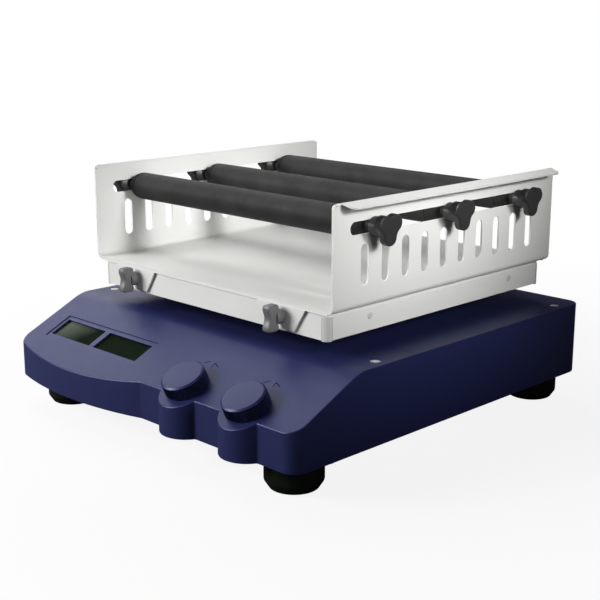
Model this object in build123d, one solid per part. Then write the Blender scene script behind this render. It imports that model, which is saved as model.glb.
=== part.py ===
from build123d import *
from math import cos, radians, sin, sqrt, tan, atan
import os

# Orbital shaker with a flask tray. Millimetres, +Z up, the control panel faces -Y.
# The origin is on the floor, under the middle of the whole shaker seen from above.

# Casing
base_width = 370.0
base_depth = 399.0
overall_depth = 401.0
foot_height = 26.5
deck_height = 93.5
rim_height = 59.4
panel_run = 72.0
boss_reach = 13.5
boss_radius = 23.5
casing_wall = 3.0
casing_corner_radius = 14.0
knee_radius = 38.0
crease_radius = 3.0
edge_radius = 1.4
rear_y = base_depth - overall_depth / 2
front_y = boss_reach - overall_depth / 2
knee_y = front_y + panel_run
panel_angle = atan((deck_height - rim_height) / panel_run)
bow_width = base_width / 2
bow_radius = (bow_width**2 / 4 + boss_reach**2) / (2 * boss_reach)
boss_y = front_y - boss_reach + boss_radius

# Clearances
running_gap = 0.03
sliding_gap = 0.05
fitting_gap = 0.1
loose_gap = 0.3

# Bottom plate, feet and their screws
plate_thickness = 2.0
foot_radius = 24.3
foot_tip_radius = 18.6
foot_taper_height = 7.0
foot_x = 150.0
foot_front_y = front_y + 34.5
foot_rear_y = rear_y - 28.3
screw_radius = 1.95
screw_hole_radius = 2.1
pan_head_radius = 4.0
pan_head_height = 2.6
pan_screw_length = 18.0
foot_seat_height = 12.0
lug_radius = 6.0
lug_height = 32.0
lug_x = base_width / 2 - casing_wall - lug_radius + 1.0
lug_front_y = -141.0
lug_rear_y = 139.0

# Where the tray stands: its rear thumb screws reach the rear end of the shaker
tray_width = 310.0
tray_depth = 299.0
thumb_hub_radius = 6.3
thumb_hub_length = 8.7
thumb_head_thickness = 8.0
thumb_reach = loose_gap + thumb_hub_length + thumb_head_thickness
platform_y = overall_depth / 2 - thumb_reach - tray_depth / 2

# Drive
orbit_radius = 5.0
drive_y = platform_y + orbit_radius
drive_plate_thickness = 4.0
deck_head_radius = 4.4
deck_sink = 1.5
drive_plate_front_y = -96.0
drive_plate_margin = 2.0
deck_under = deck_height - casing_wall
plate_under = deck_under - drive_plate_thickness
flange_screw_length = 8.0
flange_head_radius = 3.5
flange_head_height = 4.0
shaft_radius = 7.5
main_bearing_radius = 17.5
main_bearing_width = 11.0
housing_radius = 23.0
housing_flange_radius = 42.0
housing_flange_thickness = 5.0
housing_bottom = 56.0
housing_top = 97.0
pulley_bottom = 38.0
pulley_height = 10.0
pulley_rim = 1.5
driven_pulley_radius = 42.0
motor_pulley_radius = 12.0
belt_thickness = 1.4
crank_radius = 30.0
crank_bottom = housing_top + 1.5
crank_height = 8.0
counterweight_radius = 62.0
counterweight_half_angle = 70.0
motor_distance = 95.0
motor_y = drive_y - motor_distance
motor_radius = 28.0
motor_flange_radius = 36.0
motor_flange_thickness = 4.0
motor_bottom = 50.0
motor_shaft_radius = 4.0

# Idler cranks
idler_distance = 100.0
idler_angles = (90.0, 210.0, 330.0)
idler_pin_radius = 4.0
idler_bearing_radius = 11.0
idler_bearing_width = 7.0
idler_housing_radius = 14.0
idler_flange_radius = 24.0
idler_flange_thickness = 4.0
idler_housing_bottom = 62.0
idler_disc_radius = 14.0
idler_disc_height = 5.0

# Platform
platform_width = 294.0
platform_sheet = 2.0
platform_top = 132.5
skirt_bottom = 109.4
platform_bend_radius = 4.0
post_radius = 6.0
post_bottom = 108.6
post_cap_drop = 4.0
cup_bottom = 110.0
cup_radius = 23.0
cup_flange_radius = 34.0
cup_flange_thickness = 4.0
idler_cup_radius = 15.0
idler_cup_flange_radius = 21.0
fixing_offset = 96.5
fixing_height = 122.0
weld_nut_radius = 4.5
weld_nut_length = 4.0
skirt_screw_head_radius = 2.8
skirt_screw_head_height = 0.9

# Flask tray
tray_sheet = 1.5
tray_bend_radius = 5.5
tray_wall_top = 220.8
flange_width = 14.0
flange_drop = 4.0
flange_bend_radius = 3.0
flange_inset = 8.0
flange_corner_radius = 5.0
flange_root_radius = 3.0
relief_radius = 0.6
wall_corner_radius = 4.0
tray_lip_height = 1.2
tab_half_top = 28.0
tab_half_bottom = 15.5
tab_bottom = 111.4
slot_count = 10
slot_pitch = 25.0
slot_width = 9.0
slot_bottom = 151.0
slot_top = 185.5
bar_slot_height = 198.7
bar_slot_width = 11.0
bar_slot_length = 260.0

# Cross bars and clamp knobs
bar_places = {"front": -103.5, "middle": -8.5, "rear": 91.0}
bar_rod_radius = 4.0
sleeve_radius = 12.7
sleeve_straight = 138.0
neck_radius = 5.2
neck_start = 150.0
groove_depth = 0.5
groove_width = 0.9
groove_places = (139.5, 144.0)
knob_hub_radius = 8.8
knob_hub_length = 8.0
knob_head_thickness = 11.5
lobe_radius = 5.8
lobe_distance = 11.2
waist_radius = 7.5
knob_edge_radius = 1.2
thumb_scale = 0.74
stud_length = 9.0

# Display and controls, placed on the panel by distance down from the knee
display_x = -94.5
display_down = 49.2
display_width = 136.0
display_height = 31.0
bezel_thickness = 1.2
bezel_sink = 0.8
window_height = 22.2
window_left = (-158.5, -99.5)
window_right = (-93.0, -31.0)
window_thickness = 1.2
window_margin = 1.2
knob_x = (49.3, 122.8)
knob_names = ("speed", "time")
knob_down = 67.8
knob_base = 1.3
knob_top = 12.7
dial_radius = 19.2
dial_top_radius = 18.8
dial_chamfer_radius = 17.1
dial_chamfer_height = 1.2
flute_count = 60
flute_depth = 0.45
encoder_shaft_radius = 3.0
encoder_width = 14.0
encoder_top = -3.8
encoder_bottom = -12.3
bushing_radius = 3.5
bushing_top = 0.5
board_thickness = 1.6
board_x = (-168.0, 152.0)
board_down = (28.0, 76.0)

# Rear panel
recess_x = (-153.0, -57.0)
recess_z = (37.0, 75.0)
recess_depth = 2.5
inlet_x = -122.0
inlet_z = 56.0
switch_x = -78.0
rocker_radius = 6.8
rocker_pivot_y = rear_y - recess_depth - 4.5
rocker_tilt = 10.0

panel = Plane(
    origin=(0, knee_y, deck_height),
    x_dir=(1, 0, 0),
    z_dir=(0, -sin(panel_angle), cos(panel_angle)),
)
os.makedirs("parts", exist_ok=True)


def block(low, high):
    """Box between two opposite corners."""
    size = [b - a for a, b in zip(low, high)]
    middle = [(a + b) / 2 for a, b in zip(low, high)]
    return Pos(*middle) * Box(*size)


def disc(radius, low, high):
    """Upright cylinder about Z between two heights."""
    return Pos(0, 0, (low + high) / 2) * Cylinder(radius, high - low)


def ring(outer, inner, low, high):
    """Upright tube about Z between two heights."""
    return disc(outer, low, high) - disc(inner, low - 1, high + 1)


def turned(points):
    """Solid of revolution about Z from (radius, height) corner points."""
    return revolve(Plane.XZ * Polygon(*points, align=None), Axis.Z)


def on_panel(x, down, height=0.0):
    """Place on the sloping panel, with Z along its normal."""
    return panel.location * Pos(x, -down, height)


def group(solids):
    """Several separate solids in one node."""
    return Compound(children=list(solids))


def idler_places(centre_y):
    """Centres of the three idlers round a centre on the Y axis."""
    places = []
    for angle in idler_angles:
        turn = radians(angle)
        places.append((idler_distance * cos(turn), centre_y + idler_distance * sin(turn)))
    return places


def corner_places(x, front, rear):
    return [(-x, front), (x, front), (-x, rear), (x, rear)]


def flange_screw_places():
    """Screws through the flanges of the bearing housing, the motor and the idler housings."""
    places = []
    for angle in (45, 135, 225, 315):
        turn = radians(angle)
        places.append((34.0 * cos(turn), drive_y + 34.0 * sin(turn)))
        places.append((32.0 * cos(turn), motor_y + 32.0 * sin(turn)))
    for x, y in idler_places(drive_y):
        places += [(x - 19.0, y), (x + 19.0, y)]
    return places


def casing_plan():
    """Outline from above: a rectangle with a bowed left front and two round bosses."""
    middle_y = (front_y + rear_y) / 2
    plan = Pos(0, middle_y) * Rectangle(base_width, rear_y - front_y)
    bow_centre = Pos(-bow_width / 2, front_y - boss_reach + bow_radius)
    bow_strip = Pos(-bow_width / 2, front_y) * Rectangle(bow_width, 2 * boss_reach + 2)
    plan += (bow_centre * Circle(bow_radius)) & bow_strip
    for x in knob_x:
        plan += Pos(x, boss_y) * Circle(boss_radius)
    corners = plan.vertices().filter_by(lambda v: abs(v.X) > base_width / 2 - 1)
    plan = fillet(corners, casing_corner_radius)
    creases = plan.vertices().filter_by(
        lambda v: abs(v.Y - front_y) < 0.5 and 1 < v.X < base_width / 2 - casing_corner_radius - 1
    )
    return fillet(creases, crease_radius)


def casing_side(depth, low):
    """Prism of the side profile, sunk by a depth below the deck and the panel."""
    knee = (knee_y + depth * tan(panel_angle / 2), deck_height - depth)
    nose_y = front_y - 3 * boss_reach
    nose_z = knee[1] - (knee[0] - nose_y) * tan(panel_angle)
    profile = Polygon(
        (rear_y + 5, low), (nose_y, low), (nose_y, nose_z), knee, (rear_y + 5, knee[1]), align=None
    )
    bend = profile.vertices().sort_by_distance((knee[0], knee[1], 0))[0]
    profile = fillet(bend, knee_radius - depth)
    return extrude(Plane.YZ * profile, base_width, both=True)


def casing():
    plan = casing_plan()
    tall = deck_height - foot_height
    body = extrude(Pos(0, 0, foot_height) * plan, tall + 5) & casing_side(0, foot_height)
    rim = body.edges().filter_by(
        lambda e: e.bounding_box().min.Z > foot_height + 10
        and not (abs(e.center().X) < 1 and abs(e.center().Y - knee_y) < knee_radius)
    )
    body = fillet(rim, edge_radius)
    inner_plan = offset(plan, amount=-casing_wall)
    hollow = extrude(Pos(0, 0, foot_height - 1) * inner_plan, tall + 5)
    body -= hollow & casing_side(casing_wall, foot_height - 1)
    body += rear_pad()
    lug_low = foot_height + plate_thickness
    for x, y in corner_places(lug_x, lug_front_y, lug_rear_y):
        body += Pos(x, y) * disc(lug_radius, lug_low, lug_low + lug_height)
        body -= Pos(x, y) * disc(screw_hole_radius, lug_low - 1, lug_low + 20)
    body -= deck_holes()
    body -= panel_holes()
    return body - rear_holes()


def rear_pad():
    """Thicker stretch of the rear wall behind the recess for inlet and switch."""
    return block(
        (recess_x[0] - 3, rear_y - recess_depth - casing_wall, recess_z[0] - 3),
        (recess_x[1] + 3, rear_y - 0.5, recess_z[1] + 3),
    )


def rear_holes():
    holes = block(
        (recess_x[0], rear_y - recess_depth, recess_z[0]), (recess_x[1], rear_y + 5, recess_z[1])
    )
    holes += Pos(inlet_x, rear_y, inlet_z) * Box(27.4, 30, 20.2)
    holes += Pos(switch_x, rear_y, inlet_z) * Box(13.4, 30, 19.4)
    return holes


def deck_holes():
    """Openings for the bearing barrels and counterbored holes for the deck screws."""
    low, high = deck_under - 5, deck_height + 5
    holes = Pos(0, drive_y) * disc(housing_radius + 2, low, high)
    for x, y in idler_places(drive_y):
        holes += Pos(x, y) * disc(idler_housing_radius + 2, low, high)
    for x, y in deck_screw_places():
        holes += Pos(x, y) * disc(screw_hole_radius, low, high)
        holes += Pos(x, y) * disc(deck_head_radius + 0.2, deck_height - deck_sink, high)
    return holes


def deck_screw_places():
    return corner_places(173.0, platform_y - 118.5, platform_y + 136.0)


def panel_holes():
    """Recess and opening for the display, and holes for the encoder bushings."""
    frame_low = -bezel_thickness - bezel_sink
    holes = on_panel(display_x, display_down, frame_low) * Box(
        display_width + 0.4, display_height + 0.4, 20, align=(Align.CENTER, Align.CENTER, Align.MIN)
    )
    span = window_right[1] - window_left[0] + 2 * window_margin + 0.6
    middle = (window_right[1] + window_left[0]) / 2
    holes += on_panel(middle, display_down) * Box(span, window_height + 2 * window_margin + 0.6, 12)
    for x in knob_x:
        holes += on_panel(x, knob_down) * Cylinder(bushing_radius + 0.2, 20)
    return holes


def bottom_plate():
    outline = offset(casing_plan(), amount=-casing_wall - loose_gap)
    plate = extrude(Pos(0, 0, foot_height) * outline, plate_thickness)
    for x, y in foot_places() + corner_places(lug_x, lug_front_y, lug_rear_y):
        plate -= Pos(x, y) * disc(screw_hole_radius, 0, foot_height + 10)
    for x, y in corner_places(lug_x, lug_front_y, lug_rear_y):
        plate -= Pos(x, y) * disc(lug_radius + 0.2, foot_height + plate_thickness, foot_height + 10)
    return plate


def foot_places():
    return corner_places(foot_x, foot_front_y, foot_rear_y)


def rubber_foot():
    """Round foot, tapered to its tread, bored for its screw."""
    return turned(
        [
            (screw_hole_radius, foot_height),
            (foot_radius, foot_height),
            (foot_radius, foot_taper_height),
            (foot_tip_radius + 1.0, 0.6),
            (foot_tip_radius, 0.0),
            (pan_head_radius + 1.2, 0.0),
            (pan_head_radius + 1.2, foot_seat_height),
            (screw_hole_radius, foot_seat_height),
        ]
    )


def pan_screw(seat):
    """Machine screw driven upwards, its head under the given seat height."""
    head = disc(pan_head_radius, seat - pan_head_height, seat)
    head = fillet(head.edges().group_by(Axis.Z)[0], 1.2)
    head -= disc(1.6, seat - pan_head_height - 1, seat - 1.2)
    return head + disc(screw_radius, seat - 0.1, seat + pan_screw_length)


def pan_screws():
    screws = [Pos(x, y) * pan_screw(foot_seat_height) for x, y in foot_places()]
    for x, y in corner_places(lug_x, lug_front_y, lug_rear_y):
        screws.append(Pos(x, y) * pan_screw(foot_height))
    return group(screws)


def deck_screw():
    """Domed screw head sunk in the deck."""
    seat = deck_height - deck_sink
    head = disc(deck_head_radius, seat, seat + 1.1)
    head = fillet(head.edges().group_by(Axis.Z)[-1], 0.5)
    head -= disc(1.5, seat + 0.5, seat + 3)
    return head + disc(screw_radius, plate_under, seat + 0.1)


def deck_screws():
    return group(Pos(x, y) * deck_screw() for x, y in deck_screw_places())


def drive_plate():
    """Steel plate under the deck that carries the drive."""
    half = base_width / 2 - casing_wall - drive_plate_margin
    rear = rear_y - recess_depth - casing_wall - 4
    plan = Pos(0, (drive_plate_front_y + rear) / 2) * RectangleRounded(
        2 * half, rear - drive_plate_front_y, 10
    )
    plate = extrude(Pos(0, 0, plate_under) * plan, drive_plate_thickness)
    plate -= Pos(0, drive_y) * disc(housing_radius + fitting_gap, 0, 200)
    for x, y in idler_places(drive_y):
        plate -= Pos(x, y) * disc(idler_housing_radius + fitting_gap, 0, 200)
    for x, y in deck_screw_places() + flange_screw_places():
        plate -= Pos(x, y) * disc(screw_hole_radius, 0, 200)
    return plate


def flange_screws():
    """Socket screws, heads down, from each flange up into the drive plate."""
    screws = []
    for index, (x, y) in enumerate(flange_screw_places()):
        if index >= 8:
            seat = plate_under - idler_flange_thickness
        elif index % 2:
            seat = plate_under - motor_flange_thickness
        else:
            seat = plate_under - housing_flange_thickness
        screw = disc(flange_head_radius, seat - flange_head_height, seat)
        screw -= extrude(Pos(0, 0, seat - flange_head_height) * RegularPolygon(1.7, 6), 2)
        screw += disc(screw_radius, seat - 0.1, seat + flange_screw_length)
        screws.append(Pos(x, y) * screw)
    return group(screws)


def flange_holes(body, centre_y, distance):
    for angle in (45, 135, 225, 315):
        turn = radians(angle)
        place = Pos(distance * cos(turn), centre_y + distance * sin(turn))
        body -= place * disc(screw_hole_radius, 0, 200)
    return body


def bearing_housing():
    """Flanged barrel with a bearing seat at each end."""
    top_seat = housing_top - main_bearing_width - 0.5
    low_seat = housing_bottom + main_bearing_width + 0.5
    barrel = turned(
        [
            (15.0, low_seat),
            (main_bearing_radius, low_seat),
            (main_bearing_radius, housing_bottom),
            (housing_radius, housing_bottom),
            (housing_radius, plate_under - housing_flange_thickness),
            (housing_flange_radius, plate_under - housing_flange_thickness),
            (housing_flange_radius, plate_under),
            (housing_radius, plate_under),
            (housing_radius, housing_top),
            (main_bearing_radius, housing_top),
            (main_bearing_radius, top_seat),
            (15.0, top_seat),
        ]
    )
    return flange_holes(Pos(0, drive_y) * barrel, drive_y, 34.0)


def ball_bearing(outer, bore, low, width):
    """Sealed bearing: two races with a shield set back between them."""
    race = (outer - bore) * 0.24
    return turned(
        [
            (bore, low),
            (bore + race, low),
            (bore + race, low + 0.6),
            (outer - race, low + 0.6),
            (outer - race, low),
            (outer, low),
            (outer, low + width),
            (outer - race, low + width),
            (outer - race, low + width - 0.6),
            (bore + race, low + width - 0.6),
            (bore + race, low + width),
            (bore, low + width),
        ]
    )


def main_bearings():
    low_places = (housing_bottom + 0.5, housing_top - main_bearing_width - 0.5)
    return group(
        Pos(0, drive_y) * ball_bearing(main_bearing_radius, shaft_radius, low, main_bearing_width)
        for low in low_places
    )


def drive_shaft():
    top = crank_bottom + crank_height - 2 - fitting_gap
    shaft = disc(shaft_radius - running_gap, pulley_bottom - 3, top)
    ends = shaft.edges().filter_by(GeomType.CIRCLE)
    return Pos(0, drive_y) * chamfer(ends, 0.8)


def pulley(radius, bore):
    """Flat-belt pulley with a raised rim at each end and a hub."""
    low, high = pulley_bottom, pulley_bottom + pulley_height
    return turned(
        [
            (bore, low),
            (radius + pulley_rim, low),
            (radius + pulley_rim, low + 1.2),
            (radius, low + 1.2),
            (radius, high - 1.2),
            (radius + pulley_rim, high - 1.2),
            (radius + pulley_rim, high),
            (bore, high),
        ]
    )


def driven_pulley():
    """Large pulley with six lightening holes."""
    wheel = pulley(driven_pulley_radius, shaft_radius)
    for place in PolarLocations(25, 6):
        wheel -= place * disc(8, 0, 100)
    return Pos(0, drive_y) * wheel


def motor_pulley():
    return Pos(0, motor_y) * pulley(motor_pulley_radius, motor_shaft_radius)


def belt_loop(extra):
    """Outline drawn tight round the two pulleys, grown by extra."""
    large = Circle(driven_pulley_radius + extra)
    small = Pos(0, -motor_distance) * Circle(motor_pulley_radius + extra)
    return make_hull(large.edges() + small.edges())


def drive_belt():
    gap = 0.15
    band = belt_loop(gap + belt_thickness) - belt_loop(gap)
    low = pulley_bottom + 1.5
    return Pos(0, drive_y) * extrude(Pos(0, 0, low) * band, pulley_height - 3)


def eccentric_crank():
    """Crank disc on the drive shaft with the pin that carries the platform."""
    top = crank_bottom + crank_height
    crank = disc(crank_radius, crank_bottom, top) - disc(shaft_radius, 0, top - 2)
    crank = chamfer(crank.edges().group_by(Axis.Z)[-1], 1.0)
    pin = disc(shaft_radius - running_gap, top - 0.5, cup_bottom + main_bearing_width + 1)
    crank += Pos(0, -orbit_radius) * pin
    return Pos(0, drive_y) * crank


def counterweight():
    """Sector opposite the pin, round the rim of the crank disc."""
    band = Circle(counterweight_radius) - Circle(crank_radius + 0.05)
    half = radians(counterweight_half_angle)
    reach = 2 * counterweight_radius
    side = (reach * sin(half), reach * cos(half))
    wedge = Polygon((0, 0), side, (0, reach * 2), (-side[0], side[1]), align=None)
    sector = extrude(Pos(0, 0, crank_bottom) * (band & wedge), crank_height)
    return Pos(0, drive_y) * sector


def motor_body():
    """Motor can hung by its flange, with a bore for the shaft."""
    can = disc(motor_radius, motor_bottom, plate_under)
    can = chamfer(can.edges().group_by(Axis.Z)[0], 2.0)
    can += disc(motor_flange_radius, plate_under - motor_flange_thickness, plate_under)
    can -= disc(motor_shaft_radius, 0, plate_under - 6)
    return flange_holes(Pos(0, motor_y) * can, motor_y, 32.0)


def motor_shaft():
    shaft = disc(motor_shaft_radius - running_gap, pulley_bottom - 2, plate_under - 7)
    return Pos(0, motor_y) * shaft


def idler_housings():
    """Three flanged barrels, each with two bearing seats."""
    top_seat = housing_top - idler_bearing_width - 0.5
    low_seat = idler_housing_bottom + idler_bearing_width + 0.5
    barrel = turned(
        [
            (9.0, low_seat),
            (idler_bearing_radius, low_seat),
            (idler_bearing_radius, idler_housing_bottom),
            (idler_housing_radius, idler_housing_bottom),
            (idler_housing_radius, plate_under - idler_flange_thickness),
            (idler_flange_radius, plate_under - idler_flange_thickness),
            (idler_flange_radius, plate_under),
            (idler_housing_radius, plate_under),
            (idler_housing_radius, housing_top),
            (idler_bearing_radius, housing_top),
            (idler_bearing_radius, top_seat),
            (9.0, top_seat),
        ]
    )
    for x in (-19.0, 19.0):
        barrel -= Pos(x, 0) * disc(screw_hole_radius, 0, 200)
    return group(Pos(x, y) * barrel for x, y in idler_places(drive_y))


def idler_bearings():
    rings = []
    for x, y in idler_places(drive_y):
        for low in (idler_housing_bottom + 0.5, housing_top - idler_bearing_width - 0.5):
            race = ball_bearing(idler_bearing_radius, idler_pin_radius, low, idler_bearing_width)
            rings.append(Pos(x, y) * race)
    return group(rings)


def idler_crank(place):
    """Lower journal, disc and offset upper pin in one piece."""
    journal = idler_pin_radius - running_gap
    low = crank_bottom
    crank = disc(journal, idler_housing_bottom - 2, low + 0.5)
    crank += disc(idler_disc_radius, low, low + idler_disc_height)
    pin = disc(journal, low + idler_disc_height - 0.5, cup_bottom + idler_bearing_width + 1)
    return Pos(*place) * (crank + Pos(0, -orbit_radius) * pin)


def platform_pan():
    """Square sheet pan with folded skirts, open corners and weld nuts behind the fixings."""
    half = platform_width / 2
    outer = block((-half, -half, skirt_bottom), (half, half, platform_top))
    outer = fillet(outer.edges().filter_by(Axis.Z), post_radius)
    outer = fillet(outer.faces().sort_by(Axis.Z)[-1].edges(), platform_bend_radius)
    inside = half - platform_sheet
    inner = block((-inside, -inside, skirt_bottom - 1), (inside, inside, platform_top - platform_sheet))
    inner = fillet(inner.edges().filter_by(Axis.Z), post_radius - platform_sheet)
    inner = fillet(inner.faces().sort_by(Axis.Z)[-1].edges(), platform_bend_radius - platform_sheet)
    pan = outer - inner
    notch = half - post_radius - loose_gap
    for x in (-1, 1):
        for y in (-1, 1):
            pan -= block(
                (min(x * notch, x * (half + 5)), min(y * notch, y * (half + 5)), 0),
                (max(x * notch, x * (half + 5)), max(y * notch, y * (half + 5)), platform_top - post_cap_drop),
            )
    nut = Cylinder(weld_nut_radius, weld_nut_length)
    for turn in (0, 90, 180, 270):
        for side in (-fixing_offset, fixing_offset):
            place = Rot(0, 0, turn) * Pos(inside - weld_nut_length / 2 + 0.2, side, fixing_height)
            pan += place * Rot(0, 90, 0) * nut
            pan -= place * Rot(0, 90, 0) * Cylinder(screw_hole_radius, 20)
    return Pos(0, platform_y) * pan


def corner_posts():
    """Rounded posts that close the four corners of the skirt."""
    behind = post_radius - platform_sheet - fitting_gap
    section = Circle(post_radius) & (Pos(post_radius / 2, post_radius / 2) * Rectangle(post_radius, post_radius))
    section += Pos((behind - post_radius) / 2, (behind - post_radius) / 2) * Rectangle(
        behind + post_radius, behind + post_radius
    )
    post = extrude(Pos(0, 0, post_bottom) * section, platform_top - post_cap_drop - post_bottom)
    corner = platform_width / 2 - post_radius
    posts = [Rot(0, 0, turn) * Pos(corner, corner) * post for turn in (0, 90, 180, 270)]
    return group(Pos(0, platform_y) * post for post in posts)


def skirt_screws():
    """Short screws that plug the free threads on the left and right skirts."""
    head = disc(skirt_screw_head_radius, 0, skirt_screw_head_height)
    head = fillet(head.edges().group_by(Axis.Z)[-1], 0.4)
    head -= disc(1.2, 0.5, 2)
    screw = head + disc(screw_radius, -5.5, 0.1)
    screws = []
    for turn, side in ((0, 1), (0, -1), (180, 1), (180, -1)):
        place = Rot(0, 0, turn) * Pos(platform_width / 2, side * fixing_offset, fixing_height)
        screws.append(Pos(0, platform_y) * place * Rot(0, 90, 0) * screw)
    return group(screws)


def cup(radius, flange, seat_radius, seat_depth, relief_radius):
    """Bearing cup under the platform, open below."""
    top = platform_top - platform_sheet
    shell = disc(radius, cup_bottom, top) + disc(flange, top - cup_flange_thickness, top)
    shell -= disc(seat_radius, 0, cup_bottom + seat_depth + 0.5)
    return shell - disc(relief_radius, 0, cup_bottom + seat_depth + 4)


def bearing_cups():
    cups = [Pos(0, platform_y) * cup(cup_radius, cup_flange_radius, main_bearing_radius, main_bearing_width, 12.0)]
    small = cup(idler_cup_radius, idler_cup_flange_radius, idler_bearing_radius, idler_bearing_width, 8.0)
    cups += [Pos(x, y) * small for x, y in idler_places(platform_y)]
    return group(cups)


def platform_bearings():
    low = cup_bottom + 0.5
    rings = [Pos(0, platform_y) * ball_bearing(main_bearing_radius, shaft_radius, low, main_bearing_width)]
    small = ball_bearing(idler_bearing_radius, idler_pin_radius, low, idler_bearing_width)
    rings += [Pos(x, y) * small for x, y in idler_places(platform_y)]
    return group(rings)


def tray():
    """Bent sheet tray: floor, slotted side walls, turned-out flanges, lips and tabs."""
    half_sheet = tray_sheet / 2
    wall_x = tray_width / 2 - half_sheet
    floor_z = platform_top + half_sheet
    tip = (tray_width / 2 + flange_width, tray_wall_top - flange_drop + half_sheet)
    shoulder = (wall_x, tray_wall_top + 0.6)
    bend = tray_bend_radius - half_sheet
    path = FilletPolyline(
        tip, shoulder, (wall_x, floor_z), (-wall_x, floor_z), (-shoulder[0], shoulder[1]), (-tip[0], tip[1]),
        radius=[flange_bend_radius, bend, bend, flange_bend_radius],
    )
    section = trace(path, tray_sheet)
    sheet = extrude(Plane.XZ * section, tray_depth / 2, both=True)
    sheet &= extrude(tray_plan(), 400)
    tall = tray_wall_top + 0.5
    side = Pos(0, tall / 2) * RectangleRounded(tray_depth, tall, wall_corner_radius)
    sheet &= extrude(Plane.YZ * side, tray_width, both=True)
    for end in (-1, 1):
        relief = Rot(0, 90, 0) * Cylinder(relief_radius, 2 * tray_width)
        sheet -= Pos(0, end * (tray_depth / 2 - 1.6), tray_wall_top - 2.6) * relief
    half_depth = tray_depth / 2
    for turn in (0, 180):
        sheet += Rot(0, 0, turn) * tray_front(half_depth)
    return Pos(0, platform_y) * (sheet - wall_slots())


def tray_plan():
    """Tray from above: the flanges start a little behind the wall ends, with S-shaped corners."""
    wide = tray_width + 2 * flange_width + 2
    plan = Rectangle(tray_width + 1, tray_depth) + Rectangle(wide, tray_depth - 2 * flange_inset)
    outer = plan.vertices().filter_by(lambda v: abs(v.X) > wide / 2 - 1)
    plan = fillet(outer, flange_corner_radius)
    roots = plan.vertices().filter_by(
        lambda v: abs(v.X) < wide / 2 - flange_width + 1 and abs(v.Y) < tray_depth / 2 - 1
    )
    return fillet(roots, flange_root_radius)


def tray_front(half_depth):
    """Lip along the front edge of the floor with its two tapered tabs."""
    lip_half = tray_width / 2 - tray_bend_radius - 0.5
    lip_low = platform_top - tray_lip_height
    lip = block((-lip_half, -half_depth, lip_low), (lip_half, tray_sheet - half_depth, platform_top + tray_sheet))
    lip = fillet(lip.edges().filter_by(Axis.X).sort_by_distance((0, -half_depth, platform_top + 5))[0], 1.2)
    for x in (-fixing_offset, fixing_offset):
        tab = Polygon(
            (x - tab_half_top, lip_low + 0.1), (x - tab_half_bottom, tab_bottom),
            (x + tab_half_bottom, tab_bottom), (x + tab_half_top, lip_low + 0.1), align=None,
        )
        lip += extrude(Plane.XZ.offset(half_depth) * tab, -tray_sheet)
        lip -= Pos(x, -half_depth, fixing_height) * Rot(90, 0, 0) * Cylinder(screw_hole_radius, 10)
    return lip


def wall_slots():
    """Ten upright slots and one long slot, cut through both walls."""
    first = -slot_pitch * (slot_count - 1) / 2
    upright = Rot(0, 0, 90) * SlotOverall(slot_top - slot_bottom, slot_width)
    shapes = Pos(0, bar_slot_height) * SlotOverall(bar_slot_length, bar_slot_width)
    for index in range(slot_count):
        shapes += Pos(first + index * slot_pitch, (slot_top + slot_bottom) / 2) * upright
    return extrude(Plane.YZ * shapes, tray_width, both=True)


def along_x(solid):
    """Turn a solid made about Z to lie along X."""
    return Rot(0, 90, 0) * solid


def bar_rod():
    half = tray_width / 2 + knob_hub_length + 4
    rod = disc(bar_rod_radius, -half, half)
    return along_x(chamfer(rod.edges().filter_by(GeomType.CIRCLE), 0.6))


def sleeve_radius_at(offset_x):
    """Radius of the rounded end: a quarter ellipse from the full radius down to the neck."""
    share = (offset_x - sleeve_straight) / (neck_start - sleeve_straight)
    return neck_radius + (sleeve_radius - neck_radius) * sqrt(max(0.0, 1 - share**2))


def bar_sleeve():
    """Roller sleeve with rounded ends, ring grooves and a neck that rides in the slot."""
    bore = bar_rod_radius + sliding_gap
    end = tray_width / 2 - fitting_gap
    steps = 8
    span = neck_start - sleeve_straight
    right = [(sleeve_radius, sleeve_straight)]
    for step in range(1, steps + 1):
        where = sleeve_straight + span * sin(radians(90 * step / steps))
        right.append((sleeve_radius_at(where), where))
    right += [(neck_radius, end), (bore, end)]
    left = [(radius, -where) for radius, where in reversed(right)]
    body = turned(right + left)
    for where in groove_places:
        radius = sleeve_radius_at(where)
        for side in (-1, 1):
            cut = ring(radius + 3, radius - groove_depth, -groove_width / 2, groove_width / 2)
            body -= Pos(0, 0, side * where) * cut
    return along_x(body)


def lobed_head(scale, thickness, edge):
    """Three-lobed grip with hollow sides and a rounded outer edge."""
    lobe, distance, waist = lobe_radius * scale, lobe_distance * scale, waist_radius * scale
    # Radius of the hollow arc that touches two lobes and leaves the waist between them
    hollow = waist**2 + distance**2 - distance * waist - lobe**2
    hollow /= 2 * lobe - 2 * waist + distance
    arcs = []
    for angle in (0, 120, 240):
        turn = Rot(0, 0, angle)
        middle = Vector(hollow + waist, 0).rotate(Axis.Z, 60)
        start = Vector(distance, 0)
        touch = start + (middle - start).normalized() * lobe
        other = Vector(touch.X, -touch.Y)
        arcs.append(turn * ThreePointArc(other, (distance + lobe, 0), touch))
        after = other.rotate(Axis.Z, 120)
        arcs.append(turn * ThreePointArc(touch, Vector(waist, 0).rotate(Axis.Z, 60), after))
    head = extrude(make_face(arcs), thickness)
    return fillet(head.faces().sort_by(Axis.Z)[-1].edges(), edge)


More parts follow.
